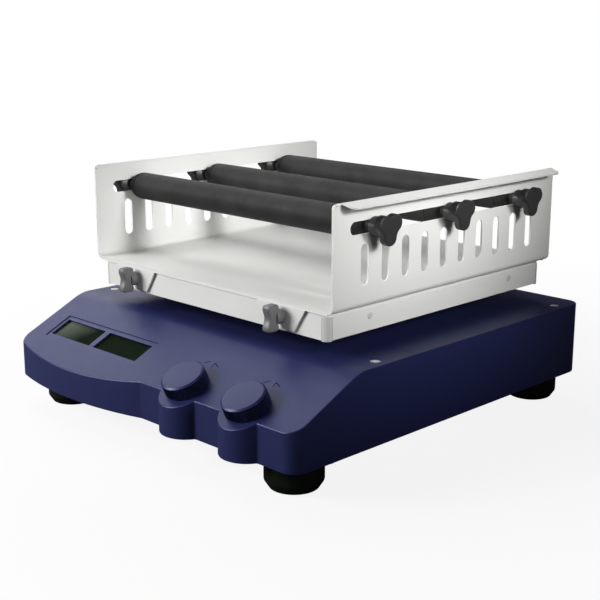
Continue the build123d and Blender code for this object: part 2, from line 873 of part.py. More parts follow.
def clamp_knob(side):
    """Knob on a bar's end: flared hub towards the wall, lobed head outside, one lobe down."""
    hub_low = 0.0
    hub = turned(
        [
            (bar_rod_radius + sliding_gap, hub_low),
            (knob_hub_radius - 2.2, hub_low),
            (knob_hub_radius - 1.6, hub_low + 3.0),
            (knob_hub_radius, hub_low + 6.0),
            (knob_hub_radius, hub_low + knob_hub_length + 0.5),
            (bar_rod_radius + sliding_gap, hub_low + knob_hub_length + 0.5),
        ]
    )
    head = lobed_head(1.0, knob_head_thickness, knob_edge_radius)
    head -= disc(bar_rod_radius + sliding_gap, -1, 5)
    knob = hub + Pos(0, 0, knob_hub_length) * head
    knob = Rot(0, 90, 0) * knob
    if side < 0:
        knob = Rot(0, 0, 180) * knob
    return Pos(side * (tray_width / 2 + loose_gap), 0, 0) * knob


def bar_place(name):
    return Pos(0, platform_y + bar_places[name], bar_slot_height)


def thumb_screw():
    """Small lobed knob with a moulded-in stud, made about Z with the stud downwards."""
    hub = turned(
        [
            (0, 0),
            (thumb_hub_radius, 0),
            (thumb_hub_radius, thumb_hub_length + 0.5),
            (0, thumb_hub_length + 0.5),
        ]
    )
    head = lobed_head(thumb_scale, thumb_head_thickness, 1.0)
    head = Pos(0, 0, thumb_hub_length) * Rot(0, 0, -90) * head
    return hub + head + disc(screw_radius, -stud_length, 0.5)


def placed_thumb_screw(front, side):
    """Thumb screw on a tab; its axis points out of the tray's front or rear edge."""
    turn = 0 if front else 180
    stand = Rot(0, 0, turn) * Pos(side * fixing_offset, -tray_depth / 2 - loose_gap, fixing_height)
    return Pos(0, platform_y) * stand * Rot(90, 0, 0) * thumb_screw()


def windows():
    return (window_left, window_right)


def display_bezel():
    """Frame round the two display windows."""
    frame = extrude(RectangleRounded(display_width, display_height, 1.0), bezel_thickness)
    for low, high in windows():
        opening = Pos((low + high) / 2 - display_x, 0) * Rectangle(high - low, window_height)
        frame -= extrude(opening, 3 * bezel_thickness, both=True)
    return on_panel(display_x, display_down, -bezel_thickness - bezel_sink) * frame


def display_windows():
    """Clear panes fixed under the openings of the frame."""
    panes = []
    top = -bezel_thickness - bezel_sink
    for low, high in windows():
        pane = Box(high - low + 2 * window_margin, window_height + 2 * window_margin, window_thickness)
        panes.append(on_panel((low + high) / 2, display_down, top - window_thickness / 2) * pane)
    return group(panes)


def lcd_modules():
    """Liquid crystal modules between the panes and the control board."""
    top = -bezel_thickness - bezel_sink - window_thickness - loose_gap
    tall = top - encoder_bottom
    modules = []
    for low, high in windows():
        module = Box(high - low + 1.5, window_height + 1.5, tall)
        modules.append(on_panel((low + high) / 2, display_down, encoder_bottom + tall / 2) * module)
    return group(modules)


def control_board():
    wide = board_x[1] - board_x[0]
    tall = board_down[1] - board_down[0]
    middle_x = (board_x[0] + board_x[1]) / 2
    middle_down = (board_down[0] + board_down[1]) / 2
    board = Box(wide, tall, board_thickness)
    board += Pos(20 - middle_x, 12, -board_thickness / 2 - 1) * Box(14, 14, 2)
    return on_panel(middle_x, middle_down, encoder_bottom - board_thickness / 2) * board


def encoder_bodies():
    """Encoder housings on the board, each with a threaded bushing through the panel."""
    cavity_low, cavity_high = encoder_bottom + 0.7, encoder_top - 2.2
    bodies = []
    for x in knob_x:
        body = block(
            (-encoder_width / 2, -encoder_width / 2, encoder_bottom),
            (encoder_width / 2, encoder_width / 2, encoder_top),
        )
        body += disc(bushing_radius, encoder_top - 0.5, bushing_top)
        body -= disc(5.6, cavity_low, cavity_high)
        body -= disc(encoder_shaft_radius + sliding_gap, cavity_low, 20)
        bodies.append(on_panel(x, knob_down) * body)
    return group(bodies)


def encoder_rotor(x):
    """Ring that the shaft turns and slides through."""
    low = encoder_bottom + 3.2
    rotor = ring(5.5, encoder_shaft_radius + sliding_gap, low, low + 2.7)
    return on_panel(x, knob_down) * rotor


def encoder_shaft(x):
    shaft = disc(encoder_shaft_radius, encoder_bottom + 2.1, knob_top - 1.6)
    return on_panel(x, knob_down) * chamfer(shaft.edges().group_by(Axis.Z)[-1], 0.5)


def control_knob(x):
    """Fluted knob: flat top, chamfered edge, hollow below round a central hub."""
    turned_body = turned(
        [
            (0, knob_base),
            (dial_radius, knob_base),
            (dial_top_radius, knob_top - dial_chamfer_height),
            (dial_chamfer_radius, knob_top),
            (0, knob_top),
        ]
    )
    flutes = []
    for index in range(2 * flute_count):
        angle = radians(180 * index / flute_count)
        radius = dial_radius + 0.1 - (flute_depth if index % 2 else 0)
        flutes.append((radius * cos(angle), radius * sin(angle)))
    body = turned_body & extrude(Polygon(*flutes, align=None), 40, both=True)
    body -= ring(dial_radius - 2.6, 6.5, knob_base - 1, knob_base + 6)
    body -= disc(bushing_radius + 0.6, knob_base - 1, knob_base + 1.5)
    body -= disc(encoder_shaft_radius + 0.02, knob_base - 1, knob_top - 1.5)
    return on_panel(x, knob_down) * body


def power_board():
    """Circuit board on the bottom plate with its taller components."""
    low = foot_height + plate_thickness
    board = block((-160, 75, low + 8), (-60, 165, low + 8 + board_thickness))
    for x in (-152, -68):
        for y in (83, 157):
            board += Pos(x, y) * disc(3, low, low + 8.5)
    top = low + 8 + board_thickness - 0.2
    board += block((-150, 120, top), (-118, 150, top + 24))
    for x in (-104, -86):
        board += Pos(x, 140) * disc(7, top, top + 22)
    board += block((-140, 88, top), (-100, 92, top + 20))
    return board


def mains_inlet():
    """Flanged appliance inlet with its plug cavity open to the rear."""
    face = rear_y - recess_depth
    body = block((-13.6, face - 20, -10), (13.6, face + 0.1, 10))
    body += block((-15.5, face, -12), (15.5, face + 2, 12))
    body -= block((-11.5, face - 14, -8.6), (11.5, face + 5, 8.6))
    for x, z in inlet_pin_places():
        body -= block((x - 1.02, face - 30, z - 2.02), (x + 1.02, face, z + 2.02))
    return Pos(inlet_x, 0, inlet_z) * body


def inlet_pin_places():
    return ((-7.0, -2.0), (0.0, 2.0), (7.0, -2.0))


def inlet_pins():
    face = rear_y - recess_depth
    pins = []
    for x, z in inlet_pin_places():
        pin = block((x - 1, face - 26, z - 2), (x + 1, face - 1, z + 2))
        pins.append(Pos(inlet_x, 0, inlet_z) * pin)
    return group(pins)


def switch_frame():
    """Switch body with a flange, hollow for the rocker."""
    face = rear_y - recess_depth
    body = block((-6.5, face - 18, -9.5), (6.5, face + 0.1, 9.5))
    body += block((-8.0, face, -11), (8.0, face + 1.5, 11))
    body -= block((-4.6, face - 13, -7.1), (4.6, face + 5, 7.1))
    body = Pos(switch_x, 0, inlet_z) * body
    return body - Pos(switch_x, rocker_pivot_y, inlet_z) * Rot(0, 90, 0) * Cylinder(1.25, 11.4)


def switch_rocker():
    """Rocker: a round back with two flats that meet in a shallow valley in front."""
    body = Rot(0, 90, 0) * Cylinder(rocker_radius, 8.8)
    for tilt in (-1, 1):
        flat = Rot(-tilt * rocker_tilt, 0, 0) * Pos(0, 4.6 + 10, tilt * 10) * Box(20, 20, 20)
        body -= flat
    body += Rot(0, 90, 0) * Cylinder(1.2, 11.2)
    return Pos(switch_x, rocker_pivot_y, inlet_z) * Rot(-rocker_tilt, 0, 0) * body


nodes = {
    "casing": casing(),
    "bottom_plate": bottom_plate(),
    "rubber_feet": group(Pos(x, y) * rubber_foot() for x, y in foot_places()),
    "pan_screws": pan_screws(),
    "deck_screws": deck_screws(),
    "drive_plate": drive_plate(),
    "flange_screws": flange_screws(),
    "bearing_housing": bearing_housing(),
    "main_bearings": main_bearings(),
    "drive_shaft": drive_shaft(),
    "driven_pulley": driven_pulley(),
    "motor_pulley": motor_pulley(),
    "drive_belt": drive_belt(),
    "eccentric_crank": eccentric_crank(),
    "counterweight": counterweight(),
    "motor_body": motor_body(),
    "motor_shaft": motor_shaft(),
    "idler_housings": idler_housings(),
    "idler_bearings": idler_bearings(),
    "platform_pan": platform_pan(),
    "corner_posts": corner_posts(),
    "skirt_screws": skirt_screws(),
    "bearing_cups": bearing_cups(),
    "platform_bearings": platform_bearings(),
    "flask_tray": tray(),
    "display_bezel": display_bezel(),
    "display_windows": display_windows(),
    "lcd_modules": lcd_modules(),
    "control_board": control_board(),
    "encoder_bodies": encoder_bodies(),
    "power_board": power_board(),
    "mains_inlet": mains_inlet(),
    "inlet_pins": inlet_pins(),
    "switch_frame": switch_frame(),
    "switch_rocker": switch_rocker(),
}
for number, place in enumerate(idler_places(drive_y), start=1):
    nodes[f"idler_crank_{number}"] = idler_crank(place)
for x, name in zip(knob_x, knob_names):
    nodes[f"{name}_rotor"] = encoder_rotor(x)
    nodes[f"{name}_shaft"] = encoder_shaft(x)
    nodes[f"{name}_knob"] = control_knob(x)
for name in bar_places:
    nodes[f"{name}_bar_rod"] = bar_place(name) * bar_rod()
    nodes[f"{name}_bar_sleeve"] = bar_place(name) * bar_sleeve()
    nodes[f"{name}_clamp_left"] = bar_place(name) * clamp_knob(-1)
    nodes[f"{name}_clamp_right"] = bar_place(name) * clamp_knob(1)
for front, end in ((True, "front"), (False, "rear")):
    for side, hand in ((-1, "left"), (1, "right")):
        outward = side if front else -side
        nodes[f"thumb_screw_{end}_{hand}"] = placed_thumb_screw(front, outward)

for name, shape in nodes.items():
    export_step(shape, f"parts/{name}.step")
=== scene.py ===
"""Orbital shaker with a slotted tray: the seen surfaces, laid over the CAD frame.

Sizes are in metres in the CAD frame: floor at z 0, the control panel towards -Y.
"""

import bmesh
import bpy
import numpy as np
from mathutils import Matrix, Vector
from mathutils.geometry import delaunay_2d_cdt


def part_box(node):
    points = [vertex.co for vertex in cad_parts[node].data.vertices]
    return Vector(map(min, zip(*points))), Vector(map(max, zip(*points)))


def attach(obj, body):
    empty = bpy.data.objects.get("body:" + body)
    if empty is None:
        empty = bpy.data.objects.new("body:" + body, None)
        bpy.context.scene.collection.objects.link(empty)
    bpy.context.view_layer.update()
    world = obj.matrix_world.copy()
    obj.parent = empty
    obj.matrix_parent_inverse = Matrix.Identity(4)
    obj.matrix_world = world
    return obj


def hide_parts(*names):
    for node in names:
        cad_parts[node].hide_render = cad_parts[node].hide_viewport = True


bl_info = {
    "name": "Orbital Shaker",
    "version": (1, 0, 0),
    "blender": (4, 5, 0),
    "location": "3D View > Sidebar > Shaker",
    "description": "Casing, dials, slotted tray and cross bars of a bench orbital shaker",
    "category": "Add Mesh",
}

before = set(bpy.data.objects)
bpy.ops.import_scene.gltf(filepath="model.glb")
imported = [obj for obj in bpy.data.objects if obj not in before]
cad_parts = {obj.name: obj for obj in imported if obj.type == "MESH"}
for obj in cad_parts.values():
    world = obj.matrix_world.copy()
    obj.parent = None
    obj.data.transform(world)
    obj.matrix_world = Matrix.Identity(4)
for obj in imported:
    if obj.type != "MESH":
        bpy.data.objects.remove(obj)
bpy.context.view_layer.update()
casing_low, casing_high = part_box("casing")

MM = 0.001
UP = (0, 0, 1)
DIAL_X = (0.0493, 0.1228)
DIAL_UP = -0.0678
FLUTES = 72
FLUTE_DEPTH = 0.0009
TAB_X = 0.0965
TAB_SCREW_Z = 0.122
CLAMP_X = 0.1553
IDLERS_AWAY = 0.1
DRIVE_OPENING, IDLER_OPENING, SCREW_OPENING = 0.025, 0.016, 0.0048
WING_BACK, WING_FRONT = 0.0046, 0.0167
BARS = ("front", "middle", "rear")
HANDS = ((-1, "left"), (1, "right"))
BLUE_GLEAM = (0.58, 0.63, 1.0)

# Lower left and upper right corners: (x, z) in the rear wall, and (x, up the slope from the knee
# line) on the panel
REAR_WINDOW = ((-0.153, 0.037), (-0.057, 0.075))
REAR_OPENINGS = (((-0.1357, 0.0459), (-0.1083, 0.0661)), ((-0.0847, 0.0463), (-0.0713, 0.0657)))
REAR_DEPTH = 0.0025
DISPLAY = ((-0.1625, -0.0647), (-0.0265, -0.0337))
WINDOWS = (((-0.1585, -0.0603), (-0.0995, -0.0381)), ((-0.093, -0.0603), (-0.031, -0.0381)))

# Tick and arrowhead as (across from the dial's centre, up from the knee line), in millimetres
MARK_LINES = (
    ((-9.2, -39.3), (-4.9, -35.2)), ((2.0, -41.0), (1.5, -35.6)), ((1.2, -35.5), (8.4, -38.3)),
)
MARK_WIDTH = 0.0007

# Height of a slot's middle in the tray's wall and its length, and the long slot's width
LONG_SLOT = (0.1987, 0.260, 0.011)
UPRIGHT_SLOT = (0.16825, 0.0345)

CARRIED_OVER = {
    "sheet": "platform_pan",
    "post": "corner_posts skirt_screws",
    "zinc": "deck_screws",
    "steel": (
        "pan_screws flange_screws drive_plate drive_shaft motor_shaft eccentric_crank"
        " idler_crank_1 idler_crank_2 idler_crank_3 front_bar_rod middle_bar_rod rear_bar_rod"
        " speed_shaft time_shaft speed_rotor time_rotor"
    ),
    "bright": "main_bearings idler_bearings platform_bearings",
    "aluminium": "bearing_housing idler_housings bearing_cups driven_pulley motor_pulley",
    "iron": "counterweight",
    "motor": "motor_body",
    "belt": "drive_belt",
    "plate": "bottom_plate",
    "case": "encoder_bodies",
    "board": "control_board power_board",
    "socket": "mains_inlet switch_frame switch_rocker",
    "brass": "inlet_pins",
}


def length(label, words, default, least=0.0):
    return bpy.props.FloatProperty(
        name=label, description=words, default=default, min=least, unit="LENGTH", precision=4
    )


def colour(label, words, default):
    return bpy.props.FloatVectorProperty(
        name=label, description=words, default=default, size=3, min=0.0, max=1.0, subtype="COLOR"
    )


class CasingSizes(bpy.types.PropertyGroup):
    """Sizes of the casing and its feet."""

    width: length("Width", "Across the casing", casing_high.x - casing_low.x)
    front: length("Front", "Y of the straight front wall", -0.187, -1.0)
    rear: length("Rear", "Y of the rear wall", casing_high.y)
    bottom: length("Bottom", "Height of the casing's lower edge", casing_low.z)
    deck: length("Deck", "Height of the flat deck", casing_high.z)
    rim: length("Front rim", "Height of the top of the straight front wall", 0.0594)
    panel_run: length("Panel run", "Depth of the sloped panel seen from above", 0.072)
    knee: length("Knee radius", "Bend between deck and panel", 0.038)
    corner: length("Corner radius", "Upright corners of the casing", 0.014)
    bow: length("Bow", "How far the bowed front and the bosses stand out", 0.0135)
    boss: length("Boss radius", "Round bosses under the dials", 0.0235)
    crease: length("Crease radius", "Hollow corners beside the bosses", 0.0022)
    edge: length("Edge radius", "Rounding of the casing's upper rim", 0.0009)
    wall: length("Wall", "Thickness of the casing", 0.003)


class TraySizes(bpy.types.PropertyGroup):
    """Sizes of the bent sheet tray."""

    width: length("Width", "Across the tray's side walls", 0.310)
    depth: length("Depth", "Front to rear edge", 0.299)
    sheet: length("Sheet", "Thickness of the sheet", 0.0015)
    floor: length("Floor", "Height of the tray's underside", 0.1325)
    top: length("Wall top", "Height of the side walls' crest", 0.2208)
    bend: length("Bend radius", "Outer radius of the bend from floor to wall", 0.0055)
    flange: length("Flange", "Width of the turned-out top flange", 0.014)
    drop: length("Flange drop", "How far the flange slopes down", 0.004)
    slot: length("Slot width", "Width of the upright slots", 0.009)
    pitch: length("Slot pitch", "Distance between the upright slots", 0.025)


class ShakerColours(bpy.types.PropertyGroup):
    """Colours of the finishes."""

    casing: colour("Casing", "Navy satin enamel", (0.017, 0.021, 0.086))
    dial: colour("Dial", "Moulded dials, as dark as the casing", (0.017, 0.021, 0.086))
    sheet: colour("Sheet", "Off-white powder coat", (0.79, 0.79, 0.765))
    sleeve: colour("Sleeve", "Charcoal rubber on the bars", (0.022, 0.022, 0.022))
    clamp: colour("Clamp knob", "Black moulded plastic", (0.03, 0.03, 0.031))
    thumb: colour("Thumb screw", "Grey moulded plastic", (0.15, 0.15, 0.15))
    foot: colour("Foot", "Green-black rubber", (0.004, 0.006, 0.004))
    screen: colour("Display", "Unlit display", (0.004, 0.009, 0.004))


def sizes(name):
    return getattr(bpy.context.scene, name)


def node_middle(node):
    """(y, z) of the middle of a CAD node's box."""
    low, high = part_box(node)
    return (low.y + high.y) / 2, (low.z + high.z) / 2


def four_places(node, radius):
    """(x, y) of the four round parts of that radius in the corners of a CAD node's box."""
    low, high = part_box(node)
    return [
        (x, y) for x in (low.x + radius, high.x - radius) for y in (low.y + radius, high.y - radius)
    ]


def rounded_path(corners, radii, steps=8, closed=False):
    """Corner points with arcs in the corners.

    Each arc touches both sides of its corner: its centre lies on the bisector, radius / sin(half
    the corner's angle) away, and it sweeps 180 degrees minus the corner's angle.
    """
    p = np.asarray(corners, float)
    r = np.broadcast_to(radii, len(p))
    to_last, to_next = np.roll(p, 1, 0) - p, np.roll(p, -1, 0) - p
    if not closed:
        to_last[0], to_next[-1] = -to_next[0], -to_last[-1]
    u = to_last / np.linalg.norm(to_last, axis=1, keepdims=True)
    v = to_next / np.linalg.norm(to_next, axis=1, keepdims=True)
    half = np.arccos(np.clip((u * v).sum(1), -1, 1)) / 2
    bisector = u + v
    bisector /= np.maximum(np.linalg.norm(bisector, axis=1, keepdims=True), 1e-9)
    centre = p + bisector * (r / np.sin(half))[:, None]
    start = p + u * (r / np.tan(half))[:, None] - centre
    turn = -np.sign(u[:, 0] * v[:, 1] - u[:, 1] * v[:, 0]) * (np.pi - 2 * half)
    share = np.linspace(0, 1, steps + 1)
    angle = np.arctan2(start[:, 1], start[:, 0])[:, None] + turn[:, None] * share
    bends = np.stack([np.cos(angle), np.sin(angle)], -1) * r[:, None, None] + centre[:, None]
    return distinct(bends.reshape(-1, 2), closed)


def turned(corners, radii, steps):
    """Half profile to turn about an axis, given in millimetres, with its corners rounded."""
    return rounded_path(np.array(corners) * MM, np.array(radii) * MM, steps)


def distinct(path, closed=False):
    """The path without points that repeat the one before."""
    step = np.linalg.norm(path - np.roll(path, 1, 0), axis=1)
    if not closed:
        step[0] = 1.0
    return path[step > 1e-7]


def arc(centre, radius, first, last, steps):
    """Points of an arc between two angles in degrees."""
    angle = np.radians(np.linspace(first, last, steps + 1))
    return np.asarray(centre) + radius * np.stack([np.cos(angle), np.sin(angle)], -1)


def ring(centre, radius, count):
    """Points of a full circle."""
    return arc(centre, radius, 0, 360, count)[:-1]


def densified(loop, step):
    """A closed loop with points added by length, so that no side is longer than step."""
    sides = []
    for start, end in zip(loop, np.roll(loop, -1, 0)):
        count = max(1, int(np.ceil(np.linalg.norm(end - start) / step)))
        sides.append(start + (end - start) * (np.arange(count)[:, None] / count))
    return np.vstack(sides)


def outward(loop):
    """Unit normals of a closed loop that runs anticlockwise: the tangent turned to the right."""
    tangent = np.roll(loop, -1, 0) - np.roll(loop, 1, 0)
    tangent /= np.linalg.norm(tangent, axis=1, keepdims=True)
    return np.stack([tangent[:, 1], -tangent[:, 0]], -1)


def lifted(flat, height):
    """(x, y) points raised to a height, one for all or one each."""
    return np.column_stack([flat, np.broadcast_to(height, len(flat))])


def upright(flat, y):
    """(x, z) points stood up at y."""
    return np.column_stack([flat[:, 0], np.full(len(flat), y), flat[:, 1]])


def quads(rows, columns):
    """Faces of a grid of points, row after row, its columns joined round."""
    grid = np.arange(rows * columns).reshape(rows, columns)
    after = np.roll(grid, -1, 1)
    return np.stack([grid[:-1], after[:-1], after[1:], grid[1:]], -1).reshape(-1, 4)


def linked(name, data):
    """A new object in the scene for a mesh, a lamp or a camera."""
    made = bpy.data.objects.new(name, data)
    bpy.context.scene.collection.objects.link(made)
    return made


def piece(name, body, coat, parts, node="", crease=32.0, merge=1e-6):
    """Makes a mesh object riding on a body, and standing for a CAD node where one is named.

    parts are (points, faces) pairs. They are welded together, with their faces outwards.
    """
    points, faces = [], []
    for part_points, part_faces in parts:
        faces += (np.asarray(part_faces) + len(points)).tolist()
        points += np.reshape(part_points, (-1, 3)).tolist()
    mesh = bpy.data.meshes.new(name)
    mesh.from_pydata(points, [], faces)
    work = bmesh.new()
    work.from_mesh(mesh)
    bmesh.ops.remove_doubles(work, verts=work.verts, dist=merge)
    bmesh.ops.dissolve_degenerate(work, edges=work.edges, dist=1e-7)
    bmesh.ops.recalc_face_normals(work, faces=work.faces)
    work.to_mesh(mesh)
    work.free()
    mesh.shade_smooth()
    mesh.set_sharp_from_angle(angle=np.radians(crease))
    made = linked(name, mesh)
    mesh.materials.append(finish(coat))
    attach(made, body)
    if node:
        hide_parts(node)
    return made


def lathe(profile, origin, axis, count=96, wave=None):
    """A (radius, height) profile turned about an axis.

    point = origin + height * axis + radius * (cos a * side + sin a * up), where wave, if given,
    changes the radius by a function of the angle a.
    """
    profile, axis = np.asarray(profile, float), np.asarray(axis, float)
    up = np.cross(axis, (1.0, 0, 0) if abs(axis[0]) < 0.5 else (0, 1.0, 0))
    up /= np.linalg.norm(up)
    side = np.cross(up, axis)
    angle = np.linspace(0, 2 * np.pi, count, endpoint=False)
    radius = np.repeat(profile[:, :1], count, 1)
    if wave is not None:
        radius = wave(radius, np.repeat(profile[:, 1:], count, 1), angle[None])
    spoke = np.cos(angle)[:, None] * side + np.sin(angle)[:, None] * up
    points = radius[..., None] * spoke[None] + profile[:, 1][:, None, None] * axis
    return np.asarray(origin) + points, quads(len(profile), count)


def inside(loop, points):
    """Even-odd test: which points have an odd number of the loop's sides to their right."""
    a, b = loop, np.roll(loop, -1, 0)
    x, y = points[:, 0][:, None], points[:, 1][:, None]
    crosses = (a[:, 1] > y) != (b[:, 1] > y)
    rise = np.where(b[:, 1] == a[:, 1], 1.0, b[:, 1] - a[:, 1])
    meets = a[:, 0] + (y - a[:, 1]) * (b[:, 0] - a[:, 0]) / rise
    return ((crosses & (x < meets)).sum(1) % 2) == 1


def clear_of(loop, points, gap=0.0012):
    """Which points are farther than the gap from every point of the loop."""
    return np.linalg.norm(points[:, None] - loop[None], axis=-1).min(1) > gap


def cut_plate(outer, holes=(), lines=(), extra=()):
    """Triangles of a flat plate with holes: a Delaunay mesh kept where the outline allows.

    lines are straight rows of points that triangles may not cross, such as bend lines, and extra
    are loose points.
    """
    runs = [outer, *holes, *lines]
    edges, first = [], 0
    for index, run in enumerate(runs):
        count = len(run)
        sides = count - (index > len(holes))
        edges += [(first + i, first + (i + 1) % count) for i in range(sides)]
        first += count
    flat = [Vector(point) for run in (*runs, extra) for point in run]
    found = delaunay_2d_cdt(flat, edges, [], 0, 1e-8)
    points = np.array([v[:] for v in found[0]])
    faces = np.array(found[2])
    middle = points[faces].mean(1)
    kept = inside(outer, middle)
    for hole in holes:
        kept &= ~inside(hole, middle)
    return points, faces[kept]


def shell(front, back, faces):
    """A closed sheet: the faces in front, turned round behind, and a rim on each free edge."""
    count = len(front)
    sides = np.vstack([faces[:, [0, 1]], faces[:, [1, 2]], faces[:, [2, 0]]])
    key = np.sort(sides, 1) @ np.array([count + 1, 1])
    _, where, times = np.unique(key, return_index=True, return_counts=True)
    free = sides[where[times == 1]]
    rim = np.hstack([free[:, ::-1], free + count])
    both = np.vstack([front, back])
    return [(both, faces), (both, faces[:, ::-1] + count), (both, rim)]


def box_loop(low, high, radius=0.0):
    """A rectangle, anticlockwise, with rounded corners."""
    corners = [low, (high[0], low[1]), high, (low[0], high[1])]
    return rounded_path(corners, radius, 6, closed=True)


def grown(corners, by):
    """The two corners of a rectangle, moved apart by a distance on each side."""
    return np.array(corners) + [[-by], [by]]


def slot_loop(centre, long, wide, along_y):
    """A slot with round ends, as one closed loop."""
    right = arc(((long - wide) / 2, 0), wide / 2, -90, 90, 14)
    ends = np.vstack([right, -right])
    if along_y:
        ends = np.column_stack([-ends[:, 1], ends[:, 0]])
    return ends + centre


def fill(node, inputs):
    """Gives each input its value, a colour as opaque, or links another node's output to it."""
    for key, given in inputs.items():
        socket = node.inputs[key]
        if isinstance(given, bpy.types.NodeSocket):
            node.id_data.links.new(given, socket)
        elif socket.type == "RGBA":
            socket.default_value = (*given, 1)
        else:
            socket.default_value = given


def add(tree, kind, output, inputs=None, **settings):
    """Adds a shader node with its settings and inputs, and returns one of its outputs."""
    node = tree.nodes.new("ShaderNode" + kind)
    for name, value in settings.items():
        setattr(node, name, value)
    fill(node, inputs or {})
    return node.outputs[output]


def noise(tree, scale, detail=2.0, stretch=(1, 1, 1), rough=0.5):
    """Noise on the object's own coordinates, in features per metre."""
    place = add(tree, "TexCoord", "Object")
    vector = add(tree, "Mapping", "Vector", {"Vector": place, "Scale": stretch})
    inputs = {"Vector": vector, "Scale": scale, "Detail": detail, "Roughness": rough}
    return add(tree, "TexNoise", "Fac", inputs)


def spread(tree, source, low, high, bottom=0.3, top=0.7):
    """The source between bottom and top, carried to low and high."""
    ends = {"From Min": bottom, "From Max": top, "To Min": low, "To Max": high}
    return add(tree, "MapRange", "Result", {"Value": source, **ends})


def tint(tree, factor, first, second):
    """Colour between two by a factor; each is a colour or another node's output."""
    inputs = {"Factor": factor, "A": first, "B": second}
    return add(tree, "Mix", "Result", inputs, data_type="RGBA")


def bump(tree, height, distance, before=None):
    """Normal of a bump of the given height, on top of the one before."""
    inputs = {"Height": height, "Distance": distance, "Strength": 1.0}
    if before is not None:
        inputs["Normal"] = before
    return add(tree, "Bump", "Normal", inputs)


def paler_convex_edges(tree, base, edge_colour, amount):
    """Lightens convex edges a little, by the difference between bevelled and true normals."""
    bevel = add(tree, "Bevel", "Normal", {"Radius": 0.0006}, samples=4)
    true = add(tree, "NewGeometry", "True Normal")
    dot = add(tree, "VectorMath", "Value", {0: bevel, 1: true}, operation="DOT_PRODUCT")
    return tint(tree, spread(tree, dot, amount, 0.0, 0.82, 0.995), base, edge_colour)


def scaled(value, factor):
    return tuple(min(1.0, c * factor) for c in value)


def mottled(tree, base, scale, detail, drift):
    """The colour, drifting a little darker and paler in soft patches."""
    patches = noise(tree, scale, detail)
    return tint(tree, patches, scaled(base, 1 - drift), scaled(base, 1 + drift))


# Each finish below gives what the inputs of its material's shader take


def enamel(tree, base, rough, fleck, peel=0.00002, gleam=(1, 1, 1)):
    """Sprayed or powder-coated finish: orange-peel bump, faint mottling, uneven gloss."""
    fine = bump(tree, noise(tree, 900, 2), peel)
    return {
        "Base Color": mottled(tree, base, 28, 4, fleck),
        "Roughness": spread(tree, noise(tree, 90, 3), rough - 0.02, rough + 0.02),
        "Specular Tint": gleam,
        "Normal": bump(tree, noise(tree, 260, 2), peel, fine),
    }


def moulded(tree, base, rough, grain=0.00003, gleam=(1, 1, 1)):
    """Moulded plastic: fine spark-eroded grain and slight colour drift."""
    return {
        "Base Color": paler_convex_edges(tree, mottled(tree, base, 60, 3, 0.08), scaled(base, 1.9), 0.35),
        "Roughness": spread(tree, noise(tree, 240, 3), rough - 0.06, rough + 0.06),
        "Specular Tint": gleam,
        "Normal": bump(tree, noise(tree, 2600, 2), grain),
    }


def fluted_painted_shade(tree, base, rough, gleam):
    """Moulded plastic with painted shade: near black in the side's grooves, paler on the ridges."""
    groove = add(tree, "Attribute", "Fac", attribute_name="groove")
    groove_shade = spread(tree, groove, 0.0, 0.97, 0.15, 0.6)
    return {
        # painted shade: the colour goes nearly black down in the grooves
        "Base Color": tint(tree, groove_shade, mottled(tree, base, 60, 3, 0.08), (0.0006, 0.0007, 0.002)),
        "Roughness": spread(tree, groove_shade, rough, 0.9, 0.0, 1.0),
        "Specular Tint": gleam,
        "Normal": bump(tree, noise(tree, 2600, 2), 0.000015),
    }


def rubber(tree, base, rough):
    """Vulcanised rubber: dusty mottling, soft sheen and a fine pitted skin."""
    dust = spread(tree, noise(tree, 45, 5, rough=0.6), 0.0, 1.0, 0.42, 0.72)
    return {
        "Base Color": tint(tree, dust, base, scaled(base, 1.5)),
        "Roughness": spread(tree, noise(tree, 180, 3), rough - 0.07, rough + 0.08),
        "Specular IOR Level": 0.15,
        "Normal": bump(tree, noise(tree, 1500, 3), 0.00004),
    }


def metal(tree, base, rough, stretch=(1, 1, 8), streak=420, depth=0.00002, shine=1.0):
    """Bare metal: drawn-out scratches in the roughness and the bump."""
    lines = noise(tree, streak, 4, stretch)
    return {
        "Base Color": tint(tree, noise(tree, 35, 3), scaled(base, 0.88), base),
        "Roughness": spread(tree, lines, rough - 0.1, rough + 0.12),
        "Metallic": shine,
        "Normal": bump(tree, lines, depth),
    }


def clear_pane(tree):
    """Display window: clear, reflection-free plastic with faint wipe marks."""
    wipe = noise(tree, 60, 4, (1, 6, 1))
    return {
        "Base Color": (0.03, 0.04, 0.03),
        "Specular IOR Level": 0.1,
        "Alpha": spread(tree, wipe, 0.02, 0.07),
        "Roughness": spread(tree, wipe, 0.3, 0.4),
    }


def unlit_screen_painted_light(tree, base):
    """Unlit liquid crystal with painted light: dark green to the right, its left window grey-green
    and brighter.

    The painted light falls with x - 0.9 * y.
    """
    split = tree.nodes.new("ShaderNodeSeparateXYZ")
    fill(split, {"Vector": add(tree, "TexCoord", "Object")})
    across = {0: split.outputs["Y"], 1: -0.9, 2: split.outputs["X"]}
    slant = add(tree, "Math", "Value", across, operation="MULTIPLY_ADD")
    # painted light: a grey-green glow that brightens towards the left window
    painted_light_ramp = spread(tree, slant, 1.0, 0.0, -0.016, 0.024)
    return {
        "Base Color": tint(tree, painted_light_ramp, base, (0.105, 0.125, 0.1)),
        "Roughness": 0.45,
        "Specular IOR Level": 0.0,
        "Normal": bump(tree, noise(tree, 3500, 1), 0.000001),
    }


def ink(tree, base):
    """Printed ink: matt, with tiny gaps where the enamel's grain shows through."""
    speck = spread(tree, noise(tree, 2400, 2), 0.0, 0.25, 0.6, 0.8)
    return {
        "Base Color": tint(tree, speck, base, scaled(base, 12)),
        "Roughness": 0.8,
        "Specular IOR Level": 0.0,
        "Normal": bump(tree, noise(tree, 900, 2), 0.000008),
    }


